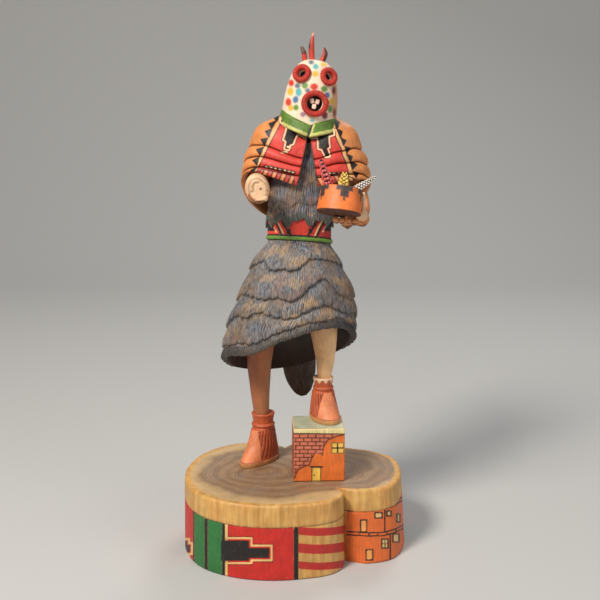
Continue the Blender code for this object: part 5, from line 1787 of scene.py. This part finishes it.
def makeBowl():
    plan = bowlPlan
    r, rim, high, wall, floor = plan["radius"], plan["rim"], plan["height"], plan["wall"], plan["floor"]
    chamfer = plan["chamfer"]
    bends = np.linspace(0, 1.57, 8)
    profile = [(r - chamfer * (1 - math.sin(t)), chamfer * (1 - math.cos(t))) for t in bends]
    lip = 0.00045
    rise = np.linspace(0.03, 1, int(60 * fine))
    profile += [(r + (rim - r) * t, chamfer + (high - chamfer - lip) * t) for t in rise]
    outerRows = len(profile)
    profile += [(rim - lip, high), (rim - wall, high - 0.0003)]
    profile += [(r - wall, floor + wall), (r - 2 * wall, floor)]
    grid = turnedGrid(profile, plan["place"], 260)
    heights = np.array([h for _, h in profile])[:, None] * 1000
    outside = np.arange(len(profile))[:, None] < outerRows
    angle = np.broadcast_to(turns(260 * fine), grid.shape[:2])
    facets = np.cos(angle * 9 + 0.6 * np.sin(angle * 4)) * 0.5
    grid = carved(grid, 0.00010 * pointNoise(grid, 0.004, 8.0) + 0.00012 * facets * outside)
    span = 2 * np.pi / plan["motifs"]
    across = ((angle - math.radians(plan["turn"]) + span / 2) % span - span / 2) * r * 1000
    fall = high * 1000 - heights + 0 * angle
    motif = boxes(np.abs(across), fall, plan["steps"])
    fields = {
        "blackPaint": np.where(outside, motif, 5.0),
        "insidePaint": np.where(outside, 3.0, -3.0) + 0 * angle,
        # the foot and underside are painted dark brown: a dark stain together with painted shade under the
        # bowl
        "footPaint": np.where(outside, (heights - 1.2) * 1.6, 3.0) + 0 * angle,
    }
    look = paintedLook("bowlLook", srgb(234, 120, 52), [
        ("insidePaint", srgb(74, 34, 20)), ("footPaint", srgb(84, 40, 22)), ("blackPaint", srgb(66, 56, 52)),
    ], mottle=0.25, rub=0.1, bump=0.3, soft=0.6)
    dress(gridPiece("bowlClay", grid, fields=fields, sharp=50), look, "corn_bowl")


def makeKernelTree():
    # rows of kernels round a cob that stands along Z
    tree, given, result = newTree("cornEar", {
        "Length": 0.03, "Radius": 0.003, "Kernel": 0.001, "Taper": 2.5, "Rows": 9, "Per Row": 14})
    long, radius, perRow = given.outputs["Length"], given.outputs["Radius"], given.outputs["Per Row"]
    count = maths(tree, "MULTIPLY", given.outputs["Rows"], perRow)
    points = addNode(tree, "GeometryNodePoints", {"Count": count})
    index = addNode(tree, "GeometryNodeInputIndex").outputs[0]
    row = maths(tree, "FLOOR", maths(tree, "DIVIDE", index, perRow))
    number = maths(tree, "SUBTRACT", index, maths(tree, "MULTIPLY", row, perRow))
    shift = maths(tree, "MULTIPLY", maths(tree, "MODULO", row, 2.0), 0.5)
    share = maths(tree, "DIVIDE", maths(tree, "ADD", number, maths(tree, "ADD", shift, 0.25)), perRow)
    angle = maths(tree, "MULTIPLY", maths(tree, "DIVIDE", row, given.outputs["Rows"]), 2 * math.pi)
    swell = maths(tree, "MINIMUM", maths(tree, "ADD", share, 0.7), 1.0)
    narrow = maths(tree, "POWER", share, given.outputs["Taper"])
    taper = maths(tree, "SUBTRACT", 1.0, maths(tree, "MULTIPLY", narrow, 0.62))
    body = maths(tree, "MULTIPLY", swell, taper)
    reach = maths(tree, "MULTIPLY", body, maths(tree, "MULTIPLY", radius, 0.88))
    place = addNode(tree, "ShaderNodeCombineXYZ", {
        "X": maths(tree, "MULTIPLY", reach, maths(tree, "COSINE", angle)),
        "Y": maths(tree, "MULTIPLY", reach, maths(tree, "SINE", angle)),
        "Z": maths(tree, "MULTIPLY", share, long),
    }).outputs[0]
    placed = addNode(tree, "GeometryNodeSetPosition", {"Geometry": points.outputs[0], "Position": place})
    kernel = addNode(tree, "GeometryNodeMeshUVSphere", {
        "Segments": 8, "Rings": 5, "Radius": given.outputs["Kernel"]})
    flat = {"Geometry": kernel.outputs[0], "Scale": (0.62, 1.0, 0.92)}
    shape = addNode(tree, "GeometryNodeTransform", flat)
    spin = addNode(tree, "ShaderNodeCombineXYZ", {"Z": angle}).outputs[0]
    size = maths(tree, "MULTIPLY_ADD", body, 0.75, 0.25)
    copies = addNode(tree, "GeometryNodeInstanceOnPoints", {
        "Points": placed.outputs[0], "Instance": shape.outputs[0], "Rotation": spin, "Scale": size})
    chance = addNode(tree, "FunctionNodeRandomValue", data_type="FLOAT")
    toned = kept(tree, copies.outputs[0], "kernelTone", chance.outputs[1], domain="INSTANCE")
    cob = addNode(tree, "GeometryNodeMeshCone", {
        "Vertices": 20, "Side Segments": 6, "Radius Top": maths(tree, "MULTIPLY", radius, 0.3),
        "Radius Bottom": maths(tree, "MULTIPLY", radius, 0.8), "Depth": long})
    both = tree.nodes.new("GeometryNodeJoinGeometry")
    tree.links.new(toned, both.inputs[0])
    tree.links.new(kept(tree, cob.outputs[0], "kernelTone", -1.0), both.inputs[0])
    return endTree(tree, given, result, both.outputs[0])


cornPlan = {
    # foot and tip in the bowl's frame, half width, taper, rows round, kernels in a row, kernel size, two
    # colours and the material
    "corn_ear_red": (
        (-2.58, 5.03, 3.98), (-17.16, -1.03, 37.3), 4.2, 1.5, 7, 12, 1.75,
        srgb(206, 62, 70), srgb(240, 140, 134), "red_corn"),
    "corn_ear_yellow": (
        (1.16, -4.39, 3.98), (0.77, -4.39, 29.3), 4.2, 4.0, 8, 9, 1.6,
        srgb(222, 170, 50), srgb(246, 220, 124), "yellow_corn"),
    "corn_ear_white": (
        (1.94, 4.90, 13.3), (23.74, 0.65, 29.8), 2.7, 2.5, 7, 13, 1.0,
        srgb(222, 208, 196), srgb(246, 240, 228), "white_corn"),
}


def makeCorn():
    tree = makeKernelTree()
    for node, (foot, tip, half, taper, rows, perRow, kernel, deep, pale, material) in cornPlan.items():
        foot, tip = Vector(foot) * unit, Vector(tip) * unit
        lean = (tip - foot).to_track_quat("Z", "Y").to_matrix().to_4x4()
        matrix = bowlPlan["place"] @ Matrix.Translation(foot) @ lean

        def kernels(nodes, deep=deep, pale=pale):
            tone = field(nodes, "kernelTone")
            colour = mixColour(nodes, tone, deep, pale)
            dark = ranged(nodes, tone, -0.2, -0.8)
            return mixColour(nodes, dark, colour, srgb(46, 22, 16))

        look = paintedLook(node.replace("corn_ear_", "") + "CornLook", kernels, mottle=0.15, rub=0.1)
        ear = grown(node.split("_")[-1] + "Corn", tree, {
            "Length": (tip - foot).length, "Radius": half * unit, "Kernel": kernel * unit, "Taper": taper,
            "Rows": rows, "Per Row": perRow, "Paint": look}, matrix)
        dress(ear, look, node)


makeBowl()
makeCorn()
print("bowl and corn made")
